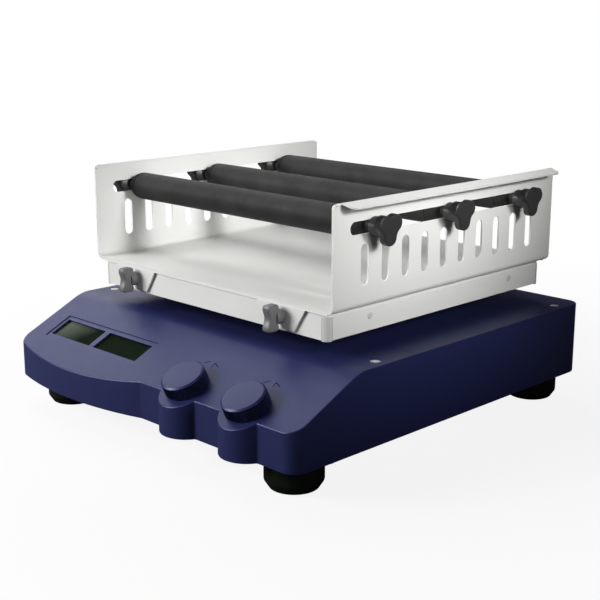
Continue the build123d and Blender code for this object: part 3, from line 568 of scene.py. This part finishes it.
def lacquered_board(tree):
    """Circuit board: green solder mask with paler tracks under it."""
    brick = tree.nodes.new("ShaderNodeTexBrick")
    fill(brick, {"Vector": add(tree, "TexCoord", "Object"), "Scale": 160})
    fill(brick, {"Color1": (0.02, 0.16, 0.05), "Color2": (0.025, 0.2, 0.07)})
    fill(brick, {"Mortar": (0.06, 0.3, 0.12)})
    return {
        "Base Color": brick.outputs["Color"],
        "Roughness": spread(tree, noise(tree, 300, 2), 0.3, 0.45),
        "Normal": bump(tree, brick.outputs["Fac"], 0.00004),
    }


def finish_makers(hues):
    """For each finish, its material's name, the function that makes it and the values it takes."""
    return {
        "casing": ("casing_enamel", enamel, hues.casing, 0.42, 0.02, 0.000008, BLUE_GLEAM),
        "dial": ("dial_plastic", fluted_painted_shade, hues.dial, 0.4, BLUE_GLEAM),
        "sheet": ("sheet_powder_coat", enamel, hues.sheet, 0.45, 0.015),
        "post": ("post_powder_coat", enamel, scaled(hues.sheet, 0.78), 0.45, 0.02),
        "sleeve": ("sleeve_rubber", rubber, hues.sleeve, 0.6),
        "clamp": ("clamp_plastic", moulded, hues.clamp, 0.42),
        "thumb": ("thumb_plastic", moulded, hues.thumb, 0.4),
        "foot": ("foot_rubber", rubber, hues.foot, 0.6),
        "belt": ("belt_rubber", rubber, (0.02, 0.02, 0.02), 0.6),
        "plate": ("plate_enamel", enamel, (0.03, 0.03, 0.035), 0.5, 0.06),
        "motor": ("motor_enamel", enamel, (0.035, 0.035, 0.038), 0.35, 0.06),
        "steel": ("turned_steel", metal, (0.56, 0.56, 0.57), 0.32),
        "zinc": (
            "zinc_plated_steel", metal, (0.75, 0.75, 0.76), 0.35, (1, 1, 8), 420, 0.00002, 0.5,
        ),
        "bright": ("bright_steel", metal, (0.68, 0.68, 0.69), 0.2, (1, 1, 12), 700, 0.000008),
        "aluminium": ("turned_aluminium", metal, (0.62, 0.62, 0.63), 0.38, (1, 1, 10), 520),
        "iron": ("cast_iron", metal, (0.14, 0.14, 0.145), 0.6, (1, 1, 1), 260, 0.0001),
        "brass": ("brass_pins", metal, (0.62, 0.47, 0.2), 0.25, (1, 6, 1), 600),
        "socket": ("socket_plastic", moulded, (0.015, 0.015, 0.016), 0.35),
        "case": ("encoder_plastic", moulded, (0.03, 0.03, 0.032), 0.5),
        "bezel": ("bezel_plastic", moulded, hues.casing, 0.4, 0.00001, BLUE_GLEAM),
        "pane": ("display_pane", clear_pane),
        "screen": ("display_glass", unlit_screen_painted_light, hues.screen),
        "board": ("board_lacquer", lacquered_board),
        "ink": ("panel_ink", ink, (0.0015, 0.0015, 0.004)),
    }


def new_material(name):
    """A material, its node tree and its shader."""
    material = bpy.data.materials.new(name)
    material.use_nodes = True
    return material, material.node_tree, material.node_tree.nodes["Principled BSDF"]


finishes = {}


def finish(name):
    """The finish of that name, made when it is first asked for."""
    if name not in finishes:
        label, maker, *values = finish_makers(sizes("shaker_colours"))[name]
        finishes[name], tree, shader = new_material(label)
        fill(shader, maker(tree, *values))
    return finishes[name]


def knee_line(s):
    """Angle of the panel's slope, y of the knee line, and how far the bend reaches from it."""
    slope = np.arctan((s.deck - s.rim) / s.panel_run)
    return slope, s.front + s.panel_run, s.knee * np.tan(slope / 2)


def top_height(s, y):
    """Height of the casing's top at y: the deck, the bend at the knee, then the sloped panel.

    The bend is an arc of the knee radius that touches both.
    """
    slope, knee_y, reach = knee_line(s)
    centre_y = knee_y + reach
    bend = s.deck - s.knee + np.sqrt(np.maximum(s.knee**2 - (y - centre_y) ** 2, 0))
    flat = s.deck - (knee_y - y) * np.tan(slope)
    on_bend = np.where(y < knee_y - reach * np.cos(slope), flat, bend)
    return np.where(y > centre_y, s.deck, on_bend)


def knee_rows(s):
    """Y of the rows of points along the bend: where its arc starts and ends, and between."""
    slope, knee_y, reach = knee_line(s)
    return knee_y + reach - s.knee * np.sin(np.linspace(slope, 0, 13))


def on_panel(s, flat, height):
    """Points of the panel, (across, up the slope from the knee line), at a height above it."""
    slope, knee_y, _ = knee_line(s)
    x, up = np.moveaxis(np.asarray(flat, float), -1, 0)
    y = knee_y + up * np.cos(slope) - height * np.sin(slope)
    z = s.deck + up * np.sin(slope) + height * np.cos(slope)
    return np.stack([x, y, z], -1)


def casing_outline(s):
    """The casing from above, anticlockwise from the left front corner.

    Arcs: corner, bowed left front, then for each boss a hollow crease, the boss and a crease.
    A crease's centre is crease + boss away from the boss's centre and a crease in front of the
    straight wall.
    """
    half = s.width / 2
    bow_x = -half / 2
    bow_radius = (bow_x**2 + s.bow**2) / (2 * s.bow)
    bow_y = s.front - s.bow + bow_radius
    corner_x = -half + s.corner
    corner_y = bow_y - np.sqrt((bow_radius - s.corner) ** 2 - (corner_x - bow_x) ** 2)
    lean = np.degrees(np.arctan2(corner_y - bow_y, corner_x - bow_x))
    ends = np.degrees(np.arctan2(s.front - bow_y, -bow_x))
    parts = [
        arc((corner_x, corner_y), s.corner, -180, lean, 14),
        arc((bow_x, bow_y), bow_radius, lean, ends, 48),
    ]
    boss_y = s.front - s.bow + s.boss
    crease_y = s.front - s.crease
    fall = boss_y - crease_y
    across = np.sqrt((s.boss + s.crease) ** 2 - fall**2)
    open_angle = np.degrees(np.arctan2(-fall, across))
    for x in DIAL_X:
        parts += [
            arc((x - across, crease_y), s.crease, 90, -open_angle, 6),
            arc((x, boss_y), s.boss, -180 - open_angle, open_angle, 40),
            arc((x + across, crease_y), s.crease, 180 + open_angle, 90, 6),
        ]
    beside = knee_rows(s)
    rear_y = s.rear - s.corner
    parts += [
        arc((half - s.corner, s.front + s.corner), s.corner, -90, 0, 14),
        np.column_stack([np.full(len(beside), half), beside]),
        arc((half - s.corner, rear_y), s.corner, 0, 90, 14),
        np.array([(REAR_WINDOW[1][0], s.rear), (REAR_WINDOW[0][0], s.rear)]),
        arc((-half + s.corner, rear_y), s.corner, 90, 180, 14),
        np.column_stack([np.full(len(beside), -half), beside[::-1]]),
    ]
    return densified(distinct(np.vstack(parts), closed=True), 0.0035)


def casing_walls(s, loop):
    """Rows of the wall, from the inside up to the rounded upper rim.

    Each row is the outline moved inwards by an inset, at a height that is a share of the way from
    the casing's bottom to the local top.
    """
    normals = outward(loop)
    tall, edge = s.deck - s.bottom, s.edge
    sill, lintel = (height - s.bottom for _, height in REAR_WINDOW)
    rows = []
    for part in (tall - s.wall, lintel, sill, 0.0008):
        place = loop - normals * s.wall
        top = top_height(s, place[:, 1]) - s.wall - s.bottom
        rows.append(lifted(place, s.bottom + part / (tall - s.wall) * top))
    for inset, height in ((s.wall - 0.0006, 0.0), (0.0009, 0.0), (0.0003, 0.0003), (0.0, 0.0009)):
        rows.append(lifted(loop - normals * inset, s.bottom + height))
    top = top_height(s, loop[:, 1]) - edge - s.bottom
    for part in (sill / (tall - edge), lintel / (tall - edge), 1.0):
        rows.append(lifted(loop, s.bottom + part * top))
    for angle in np.radians(np.linspace(0, 90, 6))[1:]:
        place = loop - normals * edge * (1 - np.cos(angle))
        rows.append(lifted(place, top_height(s, place[:, 1]) - edge * (1 - np.sin(angle))))
    return np.array(rows)


def deck_openings(s):
    """Outlines of the openings for the display, the drive, the idlers and the screws."""
    drive = np.array([0, node_middle("drive_shaft")[0]])
    display = on_panel(s, box_loop(*grown(DISPLAY, 0.0002), 0.0012), 0.0)[:, :2]
    idlers = arc(drive, IDLERS_AWAY, 90, 330, 2)
    holes = [display, ring(drive, DRIVE_OPENING, 64)]
    holes += [ring(idler, IDLER_OPENING, 40) for idler in idlers]
    return holes + [ring(place, SCREW_OPENING, 36) for place in four_places("deck_screws", 0.0044)]


def casing_top(s, rim, inner):
    """Top of the casing, out to its rim above and to the inner wall below, with its openings.

    Rows of points along the knee keep the bend even.
    """
    holes = deck_openings(s)
    bend = knee_rows(s)
    panel_rows = np.arange(s.front + 0.006, bend[0] - 0.004, 0.008)
    deck_rows = np.arange(bend[-1] + 0.012, s.rear - 0.01, 0.02)
    side = s.width / 2 - s.edge
    columns = np.linspace(-side, side, 32)[1:-1]
    grid = np.meshgrid(columns, np.concatenate([panel_rows, deck_rows]))
    extra = np.stack(grid, -1).reshape(-1, 2)
    parts = []
    for edge, drop in ((rim, 0.0), (inner, s.wall)):
        free = inside(edge, extra) & clear_of(edge, extra)
        for hole in holes:
            free &= ~inside(hole, extra) & clear_of(hole, extra)
        across = np.linspace(edge[:, 0].min(), edge[:, 0].max(), 32)
        lines = [np.column_stack([across, np.full(32, y)]) for y in bend]
        points, faces = cut_plate(edge, holes, lines, extra[free])
        parts.append((lifted(points, top_height(s, points[:, 1]) - drop), faces))
    for hole in holes:
        top = top_height(s, hole[:, 1])
        rows = np.array([lifted(hole, top), lifted(hole, top - s.wall)])
        parts.append((rows, quads(2, len(hole))))
    return parts


def rear_recess(s):
    """Sunk plate in the rear wall with the openings for the inlet and the switch."""
    loop = box_loop(*REAR_WINDOW)
    sunk = s.rear - REAR_DEPTH
    sides = np.array([upright(loop, y) for y in (s.rear, s.rear - 0.0004, sunk)])
    points, faces = cut_plate(loop, [box_loop(*opening) for opening in REAR_OPENINGS])
    plate = shell(upright(points, sunk), upright(points, sunk - s.wall), faces)
    return [(sides, quads(3, len(loop)))] + plate


class SHAKER_OT_casing(bpy.types.Operator):
    """Casing with its bowed front, bosses, sloped panel, deck openings and rear recess"""

    bl_idname = "shaker.casing"
    bl_label = "Casing"

    def execute(self, context):
        s = sizes("shaker_casing")
        loop = casing_outline(s)
        rows = casing_walls(s, loop)
        faces = quads(len(rows), len(loop))
        points = rows.reshape(-1, 3)
        middle = points[faces].mean(1)
        low, high = REAR_WINDOW
        cut = ((middle[:, ::2] > low) & (middle[:, ::2] < high)).all(1)
        cut &= middle[:, 1] > s.rear - s.wall - 0.0005
        parts = [(points, faces[~cut])]
        parts += casing_top(s, rows[-1][:, :2], rows[0][:, :2])
        parts += rear_recess(s)
        made = piece("casing_shell", "base", "casing", parts, "casing", 28, 2e-6)
        even = made.modifiers.new("even_shading", "WEIGHTED_NORMAL")
        even.keep_sharp = True
        return {"FINISHED"}


class SHAKER_OT_feet(bpy.types.Operator):
    """Round rubber feet, tapered and rolled over towards the tread"""

    bl_idname = "shaker.feet"
    bl_label = "Feet"

    def execute(self, context):
        corners = [
            (2.1, 26.5), (24.0, 26.5), (24.3, 26.2), (24.3, 7.2), (20.1, 0.8), (18.0, 0.0),
            (6.4, 0.0), (5.2, 1.2), (5.2, 12.0), (2.1, 12.0), (2.1, 26.5),
        ]
        profile = turned(corners, [0, 0.3, 0.2, 4, 1.5, 1, 0.6, 0.6, 0, 0, 0], 6)
        places = four_places("rubber_feet", 24.3 * MM)
        parts = [lathe(profile, (*place, 0), UP) for place in places]
        piece("feet", "base", "foot", parts, "rubber_feet")
        return {"FINISHED"}


class SHAKER_OT_display(bpy.types.Operator):
    """Display frame with two windows, their panes and the crystal screens behind"""

    bl_idname = "shaker.display"
    bl_label = "Display"

    def execute(self, context):
        frame_parts = self.slab(
            cut_plate(box_loop(*DISPLAY, 0.001), [box_loop(*window) for window in WINDOWS]),
            -0.0008, -0.002,
        )
        piece("display_frame", "base", "bezel", frame_parts, "display_bezel")
        panes, screens = [], []
        for window in WINDOWS:
            plate = cut_plate(box_loop(*grown(window, 0.0012), 0.0006))
            panes += self.slab(plate, -0.002, -0.0032)
            screens += self.slab(plate, -0.0035, -0.0123)
        piece("display_panes", "base", "pane", panes, "display_windows")
        piece("display_screens", "base", "screen", screens, "lcd_modules")
        return {"FINISHED"}

    def slab(self, plate, high, low):
        """A flat plate drawn out between two heights over the panel."""
        s = sizes("shaker_casing")
        points, faces = plate
        return shell(on_panel(s, points, high), on_panel(s, points, low), faces)


class SHAKER_OT_marks(bpy.types.Operator):
    """Printed tick and arrowhead beside each dial, a thin block on the panel along each line"""

    bl_idname = "shaker.marks"
    bl_label = "Dial marks"

    def execute(self, context):
        s = sizes("shaker_casing")
        faces = np.array([[0, 1, 2], [0, 2, 3]])
        parts = []
        for x in DIAL_X:
            for first, last in np.array(MARK_LINES) * MM:
                along = (last - first) / np.linalg.norm(last - first)
                side = np.array([-along[1], along[0]]) * MARK_WIDTH / 2
                flat = np.array([first + side, last + side, last - side, first - side]) + (x, 0)
                parts += shell(on_panel(s, flat, 0.00005), on_panel(s, flat, -0.0002), faces)
        piece("dial_marks", "base", "ink", parts)
        return {"FINISHED"}


class SHAKER_OT_dials(bpy.types.Operator):
    """Fluted dials with a bevelled flat top"""

    bl_idname = "shaker.dials"
    bl_label = "Dials"

    def execute(self, context):
        s = sizes("shaker_casing")
        slope = knee_line(s)[0]
        normal = np.array([0.0, -np.sin(slope), np.cos(slope)])
        corners = [
            (0.0, 2.7), (4.2, 2.7), (4.2, 1.3), (6.5, 1.3), (6.5, 7.2), (16.4, 7.2), (16.6, 1.3),
            (18.85, 1.3), (19.2, 1.7), (18.9, 11.2), (18.7, 11.5), (17.1, 12.7), (0.0, 12.7),
        ]
        profile = turned(corners, [0, 0, 0, 0, 0.5, 0.8, 0, 0.2, 0.2, 0.2, 0.2, 0.5, 0], 3)
        for name, x in zip(("speed", "time"), DIAL_X):
            origin = on_panel(s, (x, DIAL_UP), 0.0)
            body = lathe(profile, origin, normal, FLUTES * 8, self.flutes)
            made = piece(f"{name}_dial", f"{name}_dial", "dial", [body], f"{name}_knob", 40)
            self.mark_groove_shade(made.data, origin, normal)
        return {"FINISHED"}

    def flutes(self, radius, height, angle):
        """Grooves down the side, one turn of a cosine each, between two smooth rims."""
        groove = (1 - np.cos(angle * FLUTES)) / 2
        on_side = (radius > 0.0186) & (height > 0.0016) & (height < 0.0114)
        return radius - np.where(on_side, FLUTE_DEPTH * groove, 0.0)

    def mark_groove_shade(self, mesh, origin, normal):
        """Stores how deep each point lies in a groove: (side radius - radius) / groove depth."""
        place = np.array([vertex.co for vertex in mesh.vertices]) - origin
        height = place @ normal
        radius = np.linalg.norm(place - height[:, None] * normal, axis=1)
        side = np.interp(height, (0.0017, 0.0112), (0.0192, 0.0189))
        groove_shade = np.clip((side - radius) / FLUTE_DEPTH, 0, 1)
        groove_shade[(height < 0.0015) | (height > 0.0115) | (radius < 0.0175)] = 0.0
        # the depth is kept as the mask of the painted shade in the grooves
        mesh.attributes.new("groove", "FLOAT", "POINT").data.foreach_set("value", groove_shade)


def tray_section(t):
    """Middle line of the tray's cross-section as (x, z) points from flange tip to flange tip."""
    wall = t.width / 2 - t.sheet / 2
    floor = t.floor + t.sheet / 2
    crest = t.top + 0.0006
    right = [(wall, floor), (wall, crest), (t.width / 2 + t.flange, t.top - t.drop + t.sheet / 2)]
    left = [(-x, z) for x, z in right[::-1]]
    bend = t.bend - t.sheet / 2
    return rounded_path(left + right, [0, 0.003, bend, bend, 0.003, 0], 8)


def sheet_outline(t, total, crest):
    """Outline of the flat sheet; its flange ends are cut back beyond the crest."""
    half = t.depth / 2
    sides = []
    for sign in (1, -1):
        corners = [
            (total / 2, sign * half), (crest + 0.0006, sign * half),
            (crest + 0.0008, sign * (half - 0.0075)), (total, sign * (half - 0.009)), (total, 0),
        ]
        sides.append(rounded_path(corners, [0, 0.0035, 0.003, 0.006, 0], 8)[::sign])
    right = np.vstack([sides[1], sides[0]])
    return distinct(np.vstack([right, turned_about(right, total)]), closed=True)


def turned_about(loop, total):
    """A loop of the flat sheet turned half round the sheet's middle."""
    return np.column_stack([total - loop[:, 0], -loop[:, 1]])


def tray_piece(t, centre_y):
    """The bent tray: flat sheet with slots, cut in unrolled form and then laid along its section.

    A point (run, y) of the flat sheet goes to the section's point at that run; the sheet's two
    faces are half its thickness away along the section's normal.
    """
    section = tray_section(t)
    side = np.diff(section, axis=0)
    run = np.concatenate([[0], np.cumsum(np.linalg.norm(side, axis=1))])
    wall = t.width / 2 - t.sheet / 2
    low = np.flatnonzero(np.abs(section[:, 0] - wall) < 1e-6)[0]
    offset = run[low] - section[low, 1]
    total, half = run[-1], t.depth / 2
    crest = offset + t.top - 0.0006
    slots = [slot_loop((offset + LONG_SLOT[0], 0), *LONG_SLOT[1:], True)]
    for y in (np.arange(10) - 4.5) * t.pitch:
        slots.append(slot_loop((offset + UPRIGHT_SLOT[0], y), UPRIGHT_SLOT[1], t.slot, False))
    for sign in (-1, 1):
        slots.append(ring((offset + t.top - 0.0026, sign * (half - 0.0016)), 0.0006, 12))
    holes = slots + [turned_about(slot, total) for slot in slots]
    bends = [np.array([(r, -half - 0.01), (r, half + 0.01)]) for r in run[1:-1]]
    points, faces = cut_plate(sheet_outline(t, total, crest), holes, bends)
    slope = np.gradient(section, run, axis=0)
    x, z, dx, dz = (np.interp(points[:, 0], run, c) for c in np.hstack([section, slope]).T)
    middle = np.column_stack([x, points[:, 1] + centre_y, z])
    normal = np.column_stack([-dz, np.zeros(len(x)), dx]) / np.hypot(dx, dz)[:, None]
    normal *= t.sheet / 2
    return shell(middle + normal, middle - normal, faces)


def lip_piece(t, centre_y, turn):
    """Folded lip with two tapered tabs; turn is -1 for the front edge and 1 for the rear one."""
    reach = t.width / 2 - t.bend - 0.0005
    low, top, tip = t.floor - 0.0012, t.floor + t.sheet, 0.1114
    root, end = 0.028, 0.0155
    corners, radii = [(reach, top), (-reach, top), (-reach, low)], [0, 0, 0]
    for x in (-TAB_X, TAB_X):
        corners += [(x - root, low), (x - end, tip), (x + end, tip), (x + root, low)]
        radii += [0.0008, 0.0015, 0.0015, 0.0008]
    loop = rounded_path(corners + [(reach, low)], radii + [0], 5, closed=True)
    holes = [ring((x, TAB_SCREW_Z), 0.0021, 24) for x in (-TAB_X, TAB_X)]
    points, faces = cut_plate(loop, holes)
    front = upright(points, centre_y + turn * t.depth / 2)
    back = front - np.array([0, turn * t.sheet, 0])
    round_off = np.clip((front[:, 2] - (top - 0.0004)) / 0.0004, 0, 1)
    front[:, 1] -= turn * 0.0005 * round_off
    return shell(front, back, faces)


class SHAKER_OT_tray(bpy.types.Operator):
    """Bent sheet tray with slotted walls, turned-out flanges, lips and tabs"""

    bl_idname = "shaker.tray"
    bl_label = "Tray"

    def execute(self, context):
        t = sizes("shaker_tray")
        centre = node_middle("platform_pan")[0]
        parts = tray_piece(t, centre) + lip_piece(t, centre, -1) + lip_piece(t, centre, 1)
        piece("flask_tray_sheet", "platform", "sheet", parts, "flask_tray", 26, 1e-7)
        return {"FINISHED"}


def sleeve_profile():
    """Half profile of a sleeve, right end: straight, a quarter ellipse to the neck, grooves."""
    radius, neck, start, stop, end = 0.0127, 0.0052, 0.138, 0.150, 0.1549
    angle = np.radians(np.linspace(0, 90, 25))
    height = start + (stop - start) * np.sin(angle)
    ball = neck + (radius - neck) * np.cos(angle)
    straight = [(radius, h) for h in (0.0, 0.05, 0.10, 0.13)]
    tail = [(neck, 0.1502), (neck, end - 0.0004), (neck - 0.0004, end), (0.00405, end)]
    fine = np.arange(0.1302, 0.1500, 0.0003)
    curve = np.column_stack([np.interp(fine, height, ball, left=radius), fine])
    for groove in (0.1395, 0.1440):
        depth = np.clip(1 - np.abs(curve[:, 1] - groove) / 0.0007, 0, 1)
        curve[:, 0] -= 0.0006 * depth**0.6
    return np.vstack([straight, curve, tail])


class SHAKER_OT_bars(bpy.types.Operator):
    """Rubber sleeves with rounded, grooved ends"""

    bl_idname = "shaker.bars"
    bl_label = "Bar sleeves"

    def execute(self, context):
        right = sleeve_profile()
        left = right[::-1][:-1] * np.array([1, -1])
        profile = np.vstack([left, right, left[:1]])
        for name in BARS:
            body = lathe(profile, (0, *node_middle(f"{name}_bar_sleeve")), (1, 0, 0))
            node = f"{name}_bar_sleeve"
            piece(f"{name}_sleeve", f"{name}_bar", "sleeve", [body], node, 35)
        return {"FINISHED"}


def lobed_loop(lobe=0.0070, away=0.0074, waist=0.0093):
    """Outline of a three-lobed grip, one lobe at angle 0.

    Three lobe arcs joined by three hollow arcs: a hollow's radius is such that it touches both
    lobes and leaves the waist between them.
    """
    hollow = (waist**2 + away**2 - away * waist - lobe**2) / (2 * lobe - 2 * waist + away)
    middle = (hollow + waist) * np.array([np.cos(np.pi / 3), np.sin(np.pi / 3)])
    touch = np.degrees(np.arctan2(middle[1], middle[0] - away))
    outer = arc((away, 0), lobe, -touch, touch, 16)
    inner = arc(middle, hollow, touch + 180, 120 + 180 - touch, 16)
    third = np.vstack([outer, inner])
    loops = []
    for spin in np.radians((0, 120, 240)):
        cos, sin = np.cos(spin), np.sin(spin)
        loops.append(third @ np.array([[cos, sin], [-sin, cos]]))
    return distinct(np.vstack(loops), closed=True)


def wing_loop(half=0.0113, corner=0.0026, wide=0.0084):
    """Outline of a wing grip from the side, centred: (reach, height) points, anticlockwise.

    Both long sides dip in the middle by dip * (1 + cos(pi * height / wide)) / 2; the four corners
    are arcs.
    """
    reach, top = (WING_FRONT - WING_BACK) / 2, half - corner
    height = np.linspace(-top, top, 41)
    hump = np.where(np.abs(height) < wide, (1 + np.cos(np.pi * height / wide)) / 2, 0.0)
    ahead = np.column_stack([reach - 0.0020 * hump, height])
    behind = np.column_stack([-reach + 0.0022 * hump, height])[::-1]
    right, left = reach - corner, corner - reach
    parts = [
        ahead, arc((right, top), corner, 0, 90, 6), arc((left, top), corner, 90, 180, 6),
        behind, arc((left, -top), corner, 180, 270, 6), arc((right, -top), corner, 270, 360, 6),
    ]
    return distinct(np.vstack(parts), closed=True)


def rounded_block(loop, low, high, foot, lip):
    """Points and faces of a loop drawn out from low to high, with rounded rims and closed ends.

    A rim's rows are the loop moved inwards by radius * (1 - cos a) while the height runs with
    sin a; an end's rows are the last loop shrunk towards the middle.
    """
    normals = outward(loop)
    turn = np.radians(np.linspace(0, 90, 6))
    rows = [(0.0, foot, low), (0.5, foot, low)]
    rows += [(1.0, foot * (1 - np.sin(a)), low + foot * (1 - np.cos(a))) for a in turn]
    rows += [(1.0, lip * (1 - np.cos(a)), high - lip * (1 - np.sin(a))) for a in turn]
    rows += [(0.7, lip, high), (0.35, lip, high), (0.0, lip, high)]
    points = [lifted((loop - normals * inset) * share, height) for share, inset, height in rows]
    return np.array(points), quads(len(rows), len(loop))


class SHAKER_OT_clamps(bpy.types.Operator):
    """Black lobed knobs that clamp the bars to the walls"""

    bl_idname = "shaker.clamps"
    bl_label = "Clamp knobs"

    def execute(self, context):
        hub = turned([(0.0, 0.0), (7.9, 0.0), (7.9, 12.9), (0.0, 12.9)], [0, 2.4, 0, 0], 8)
        head, faces = rounded_block(lobed_loop(), 0.0125, 0.0195, 0.0009, 0.0013)
        for name in BARS:
            axis = node_middle(f"{name}_bar_sleeve")
            for sign, hand in HANDS:
                origin = np.array([sign * CLAMP_X, *axis])
                basis = np.array([(0, 0, -1), (0, 1, 0), (sign, 0, 0)])
                parts = [(origin + head @ basis, faces), lathe(hub, origin, (sign, 0, 0), 64)]
                node = f"{name}_clamp_{hand}"
                piece(f"{name}_grip_{hand}", node, "clamp", parts, node, 38)
        return {"FINISHED"}


class SHAKER_OT_thumb_screws(bpy.types.Operator):
    """Grey wing-headed screws that hold the tray's tabs"""

    bl_idname = "shaker.thumb_screws"
    bl_label = "Thumb screws"

    def execute(self, context):
        centre, reach = node_middle("platform_pan")[0], sizes("shaker_tray").depth / 2 + 0.0003
        hub = turned([(0.0, 0.0), (6.3, 0.0), (6.3, 8.2), (0.0, 8.2)], [0, 0.6, 1.2, 0], 6)
        stud = np.array([(0.0, -9.0), (1.7, -9.0), (1.95, -8.6), (1.95, 0.5), (0.0, 0.5)]) * MM
        wing, faces = rounded_block(wing_loop(), -0.0041, 0.0041, 0.0014, 0.0014)
        for end, turn in (("front", -1), ("rear", 1)):
            axis = np.array([0, turn, 0])
            basis = np.array([axis, (0, 0, 1), (1, 0, 0)])
            for sign, hand in HANDS:
                origin = np.array([sign * TAB_X, centre + turn * reach, TAB_SCREW_Z])
                middle = origin + axis * (WING_BACK + WING_FRONT) / 2
                parts = [(middle + wing @ basis, faces)]
                parts += [lathe(hub, origin, axis, 56), lathe(stud, origin, axis, 32)]
                node = f"thumb_screw_{end}_{hand}"
                piece(f"tray_screw_{end}_{hand}", node, "thumb", parts, node, 38)
        return {"FINISHED"}


class SHAKER_OT_carried_over(bpy.types.Operator):
    """Finishes for the CAD pieces that are kept as they are"""

    bl_idname = "shaker.carried_over"
    bl_label = "Kept CAD pieces"

    def execute(self, context):
        for name, nodes in CARRIED_OVER.items():
            for node in nodes.split():
                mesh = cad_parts[node].data
                mesh.materials.clear()
                mesh.materials.append(finish(name))
        return {"FINISHED"}


def floor_finish():
    """Pale floor: near white to the camera, with a faint shadow, and dark to the object.

    Away from the object it fades into the white background.
    """
    material, tree, shader = new_material("studio_floor")
    seen = add(tree, "LightPath", "Is Camera Ray")
    grain = tint(tree, noise(tree, 3, 2), (0.88, 0.88, 0.88), (0.9, 0.9, 0.9))
    base = tint(tree, seen, (0.12, 0.12, 0.12), grain)
    fill(shader, {"Base Color": base, "Roughness": 0.9, "Specular IOR Level": 0.0})
    glow = add(tree, "Emission", "Emission", {"Strength": 1.0})
    place = add(tree, "TexCoord", "Object")
    away = add(tree, "VectorMath", "Value", {0: place}, operation="LENGTH")
    faded = {0: seen, 1: spread(tree, away, 0.88, 1.0, 0.3, 0.8)}
    part = add(tree, "Math", "Value", faded, operation="MULTIPLY")
    mixed = {"Fac": part, 1: shader.outputs["BSDF"], 2: glow}
    fill(tree.nodes["Material Output"], {"Surface": add(tree, "MixShader", "Shader", mixed)})
    return material


def world_light(strength):
    """Even white world: seen as white, lighting the object at the given strength."""
    world = bpy.data.worlds.new("studio_world")
    bpy.context.scene.world = world
    world.use_nodes = True
    tree = world.node_tree
    ambient = tree.nodes["Background"]
    fill(ambient, {"Color": (1, 1, 1), "Strength": strength})
    white = add(tree, "Background", "Background", {"Color": (1, 1, 1), "Strength": 1.0})
    seen = add(tree, "LightPath", "Is Camera Ray")
    mixed = {"Fac": seen, 1: ambient.outputs["Background"], 2: white}
    fill(tree.nodes["World Output"], {"Surface": add(tree, "MixShader", "Shader", mixed)})


def softbox(name, place, target, size, power, beam=180.0):
    """Square area lamp aimed at a point; a small beam angle makes a gridded, narrow beam."""
    lamp = bpy.data.lights.new(name, "AREA")
    lamp.shape = "RECTANGLE"
    lamp.size, lamp.size_y = size
    lamp.energy = power
    lamp.spread = np.radians(beam)
    aim = (Vector(target) - Vector(place)).to_track_quat("-Z", "Y")
    linked(name, lamp).matrix_world = Matrix.Translation(place) @ aim.to_matrix().to_4x4()


class SHAKER_OT_stage(bpy.types.Operator):
    """Pale floor, soft studio lamps and the camera at the photograph's angle"""

    bl_idname = "shaker.stage"
    bl_label = "Stage"

    def execute(self, context):
        scene = context.scene
        scene.view_settings.view_transform = "Standard"
        bpy.ops.mesh.primitive_plane_add(size=12, location=(0, 0, 0))
        floor = context.active_object
        floor.name = "floor"
        floor.data.materials.append(floor_finish())
        world_light(0.03)
        softbox("front_lamp", (-1.2, -1.8, 1.1), (0, 0, 0.1), (1.0, 1.0), 58)
        softbox("left_lamp", (-1.3, 0.35, 1.35), (0, -0.1, 0.1), (1.9, 1.9), 21)
        softbox("wall_lamp", (0.62, -0.14, 0.34), (0.155, -0.05, 0.17), (0.3, 0.2), 0.11, 40)
        softbox("inner_lamp", (1.1, 0.0, 0.68), (-0.15, 0.03, 0.19), (0.3, 0.3), 0.34, 22)
        camera = bpy.data.cameras.new("camera")
        camera.sensor_width = 36
        camera.lens = 71.44
        made = linked("camera", camera)
        turn, rise, roll = np.radians((45.0, 14.088, 0.077))
        look = Matrix.Rotation(turn, 4, "Z") @ Matrix.Rotation(np.pi / 2 - rise, 4, "X")
        look = look @ Matrix.Rotation(roll, 4, "Z")
        made.matrix_world = Matrix.Translation((0.7729, -0.7692, 0.3713)) @ look
        scene.camera = made
        return {"FINISHED"}


class SHAKER_PT_panel(bpy.types.Panel):
    """Lists the sizes, the colours and the steps that dress the shaker"""

    bl_label = "Orbital Shaker"
    bl_space_type = "VIEW_3D"
    bl_region_type = "UI"
    bl_category = "Shaker"

    def draw(self, context):
        for group in GROUPS:
            box = self.layout.box()
            owner = getattr(context.scene, group)
            for name in owner.__annotations__:
                box.prop(owner, name)
        for step in STEPS:
            self.layout.operator(step.bl_idname)


STEPS = (
    SHAKER_OT_stage, SHAKER_OT_casing, SHAKER_OT_feet, SHAKER_OT_display, SHAKER_OT_marks,
    SHAKER_OT_dials, SHAKER_OT_tray, SHAKER_OT_bars, SHAKER_OT_clamps, SHAKER_OT_thumb_screws,
    SHAKER_OT_carried_over,
)
GROUPS = {
    "shaker_casing": CasingSizes,
    "shaker_tray": TraySizes,
    "shaker_colours": ShakerColours,
}
CLASSES = (*GROUPS.values(), *STEPS, SHAKER_PT_panel)


def register():
    for item in CLASSES:
        bpy.utils.register_class(item)
    for name, group in GROUPS.items():
        setattr(bpy.types.Scene, name, bpy.props.PointerProperty(type=group))


def unregister():
    for name in GROUPS:
        delattr(bpy.types.Scene, name)
    for item in reversed(CLASSES):
        bpy.utils.unregister_class(item)


def main():
    register()
    for step in STEPS:
        group, name = step.bl_idname.split(".")
        getattr(getattr(bpy.ops, group), name)()


if __name__ == "__main__":
    main()
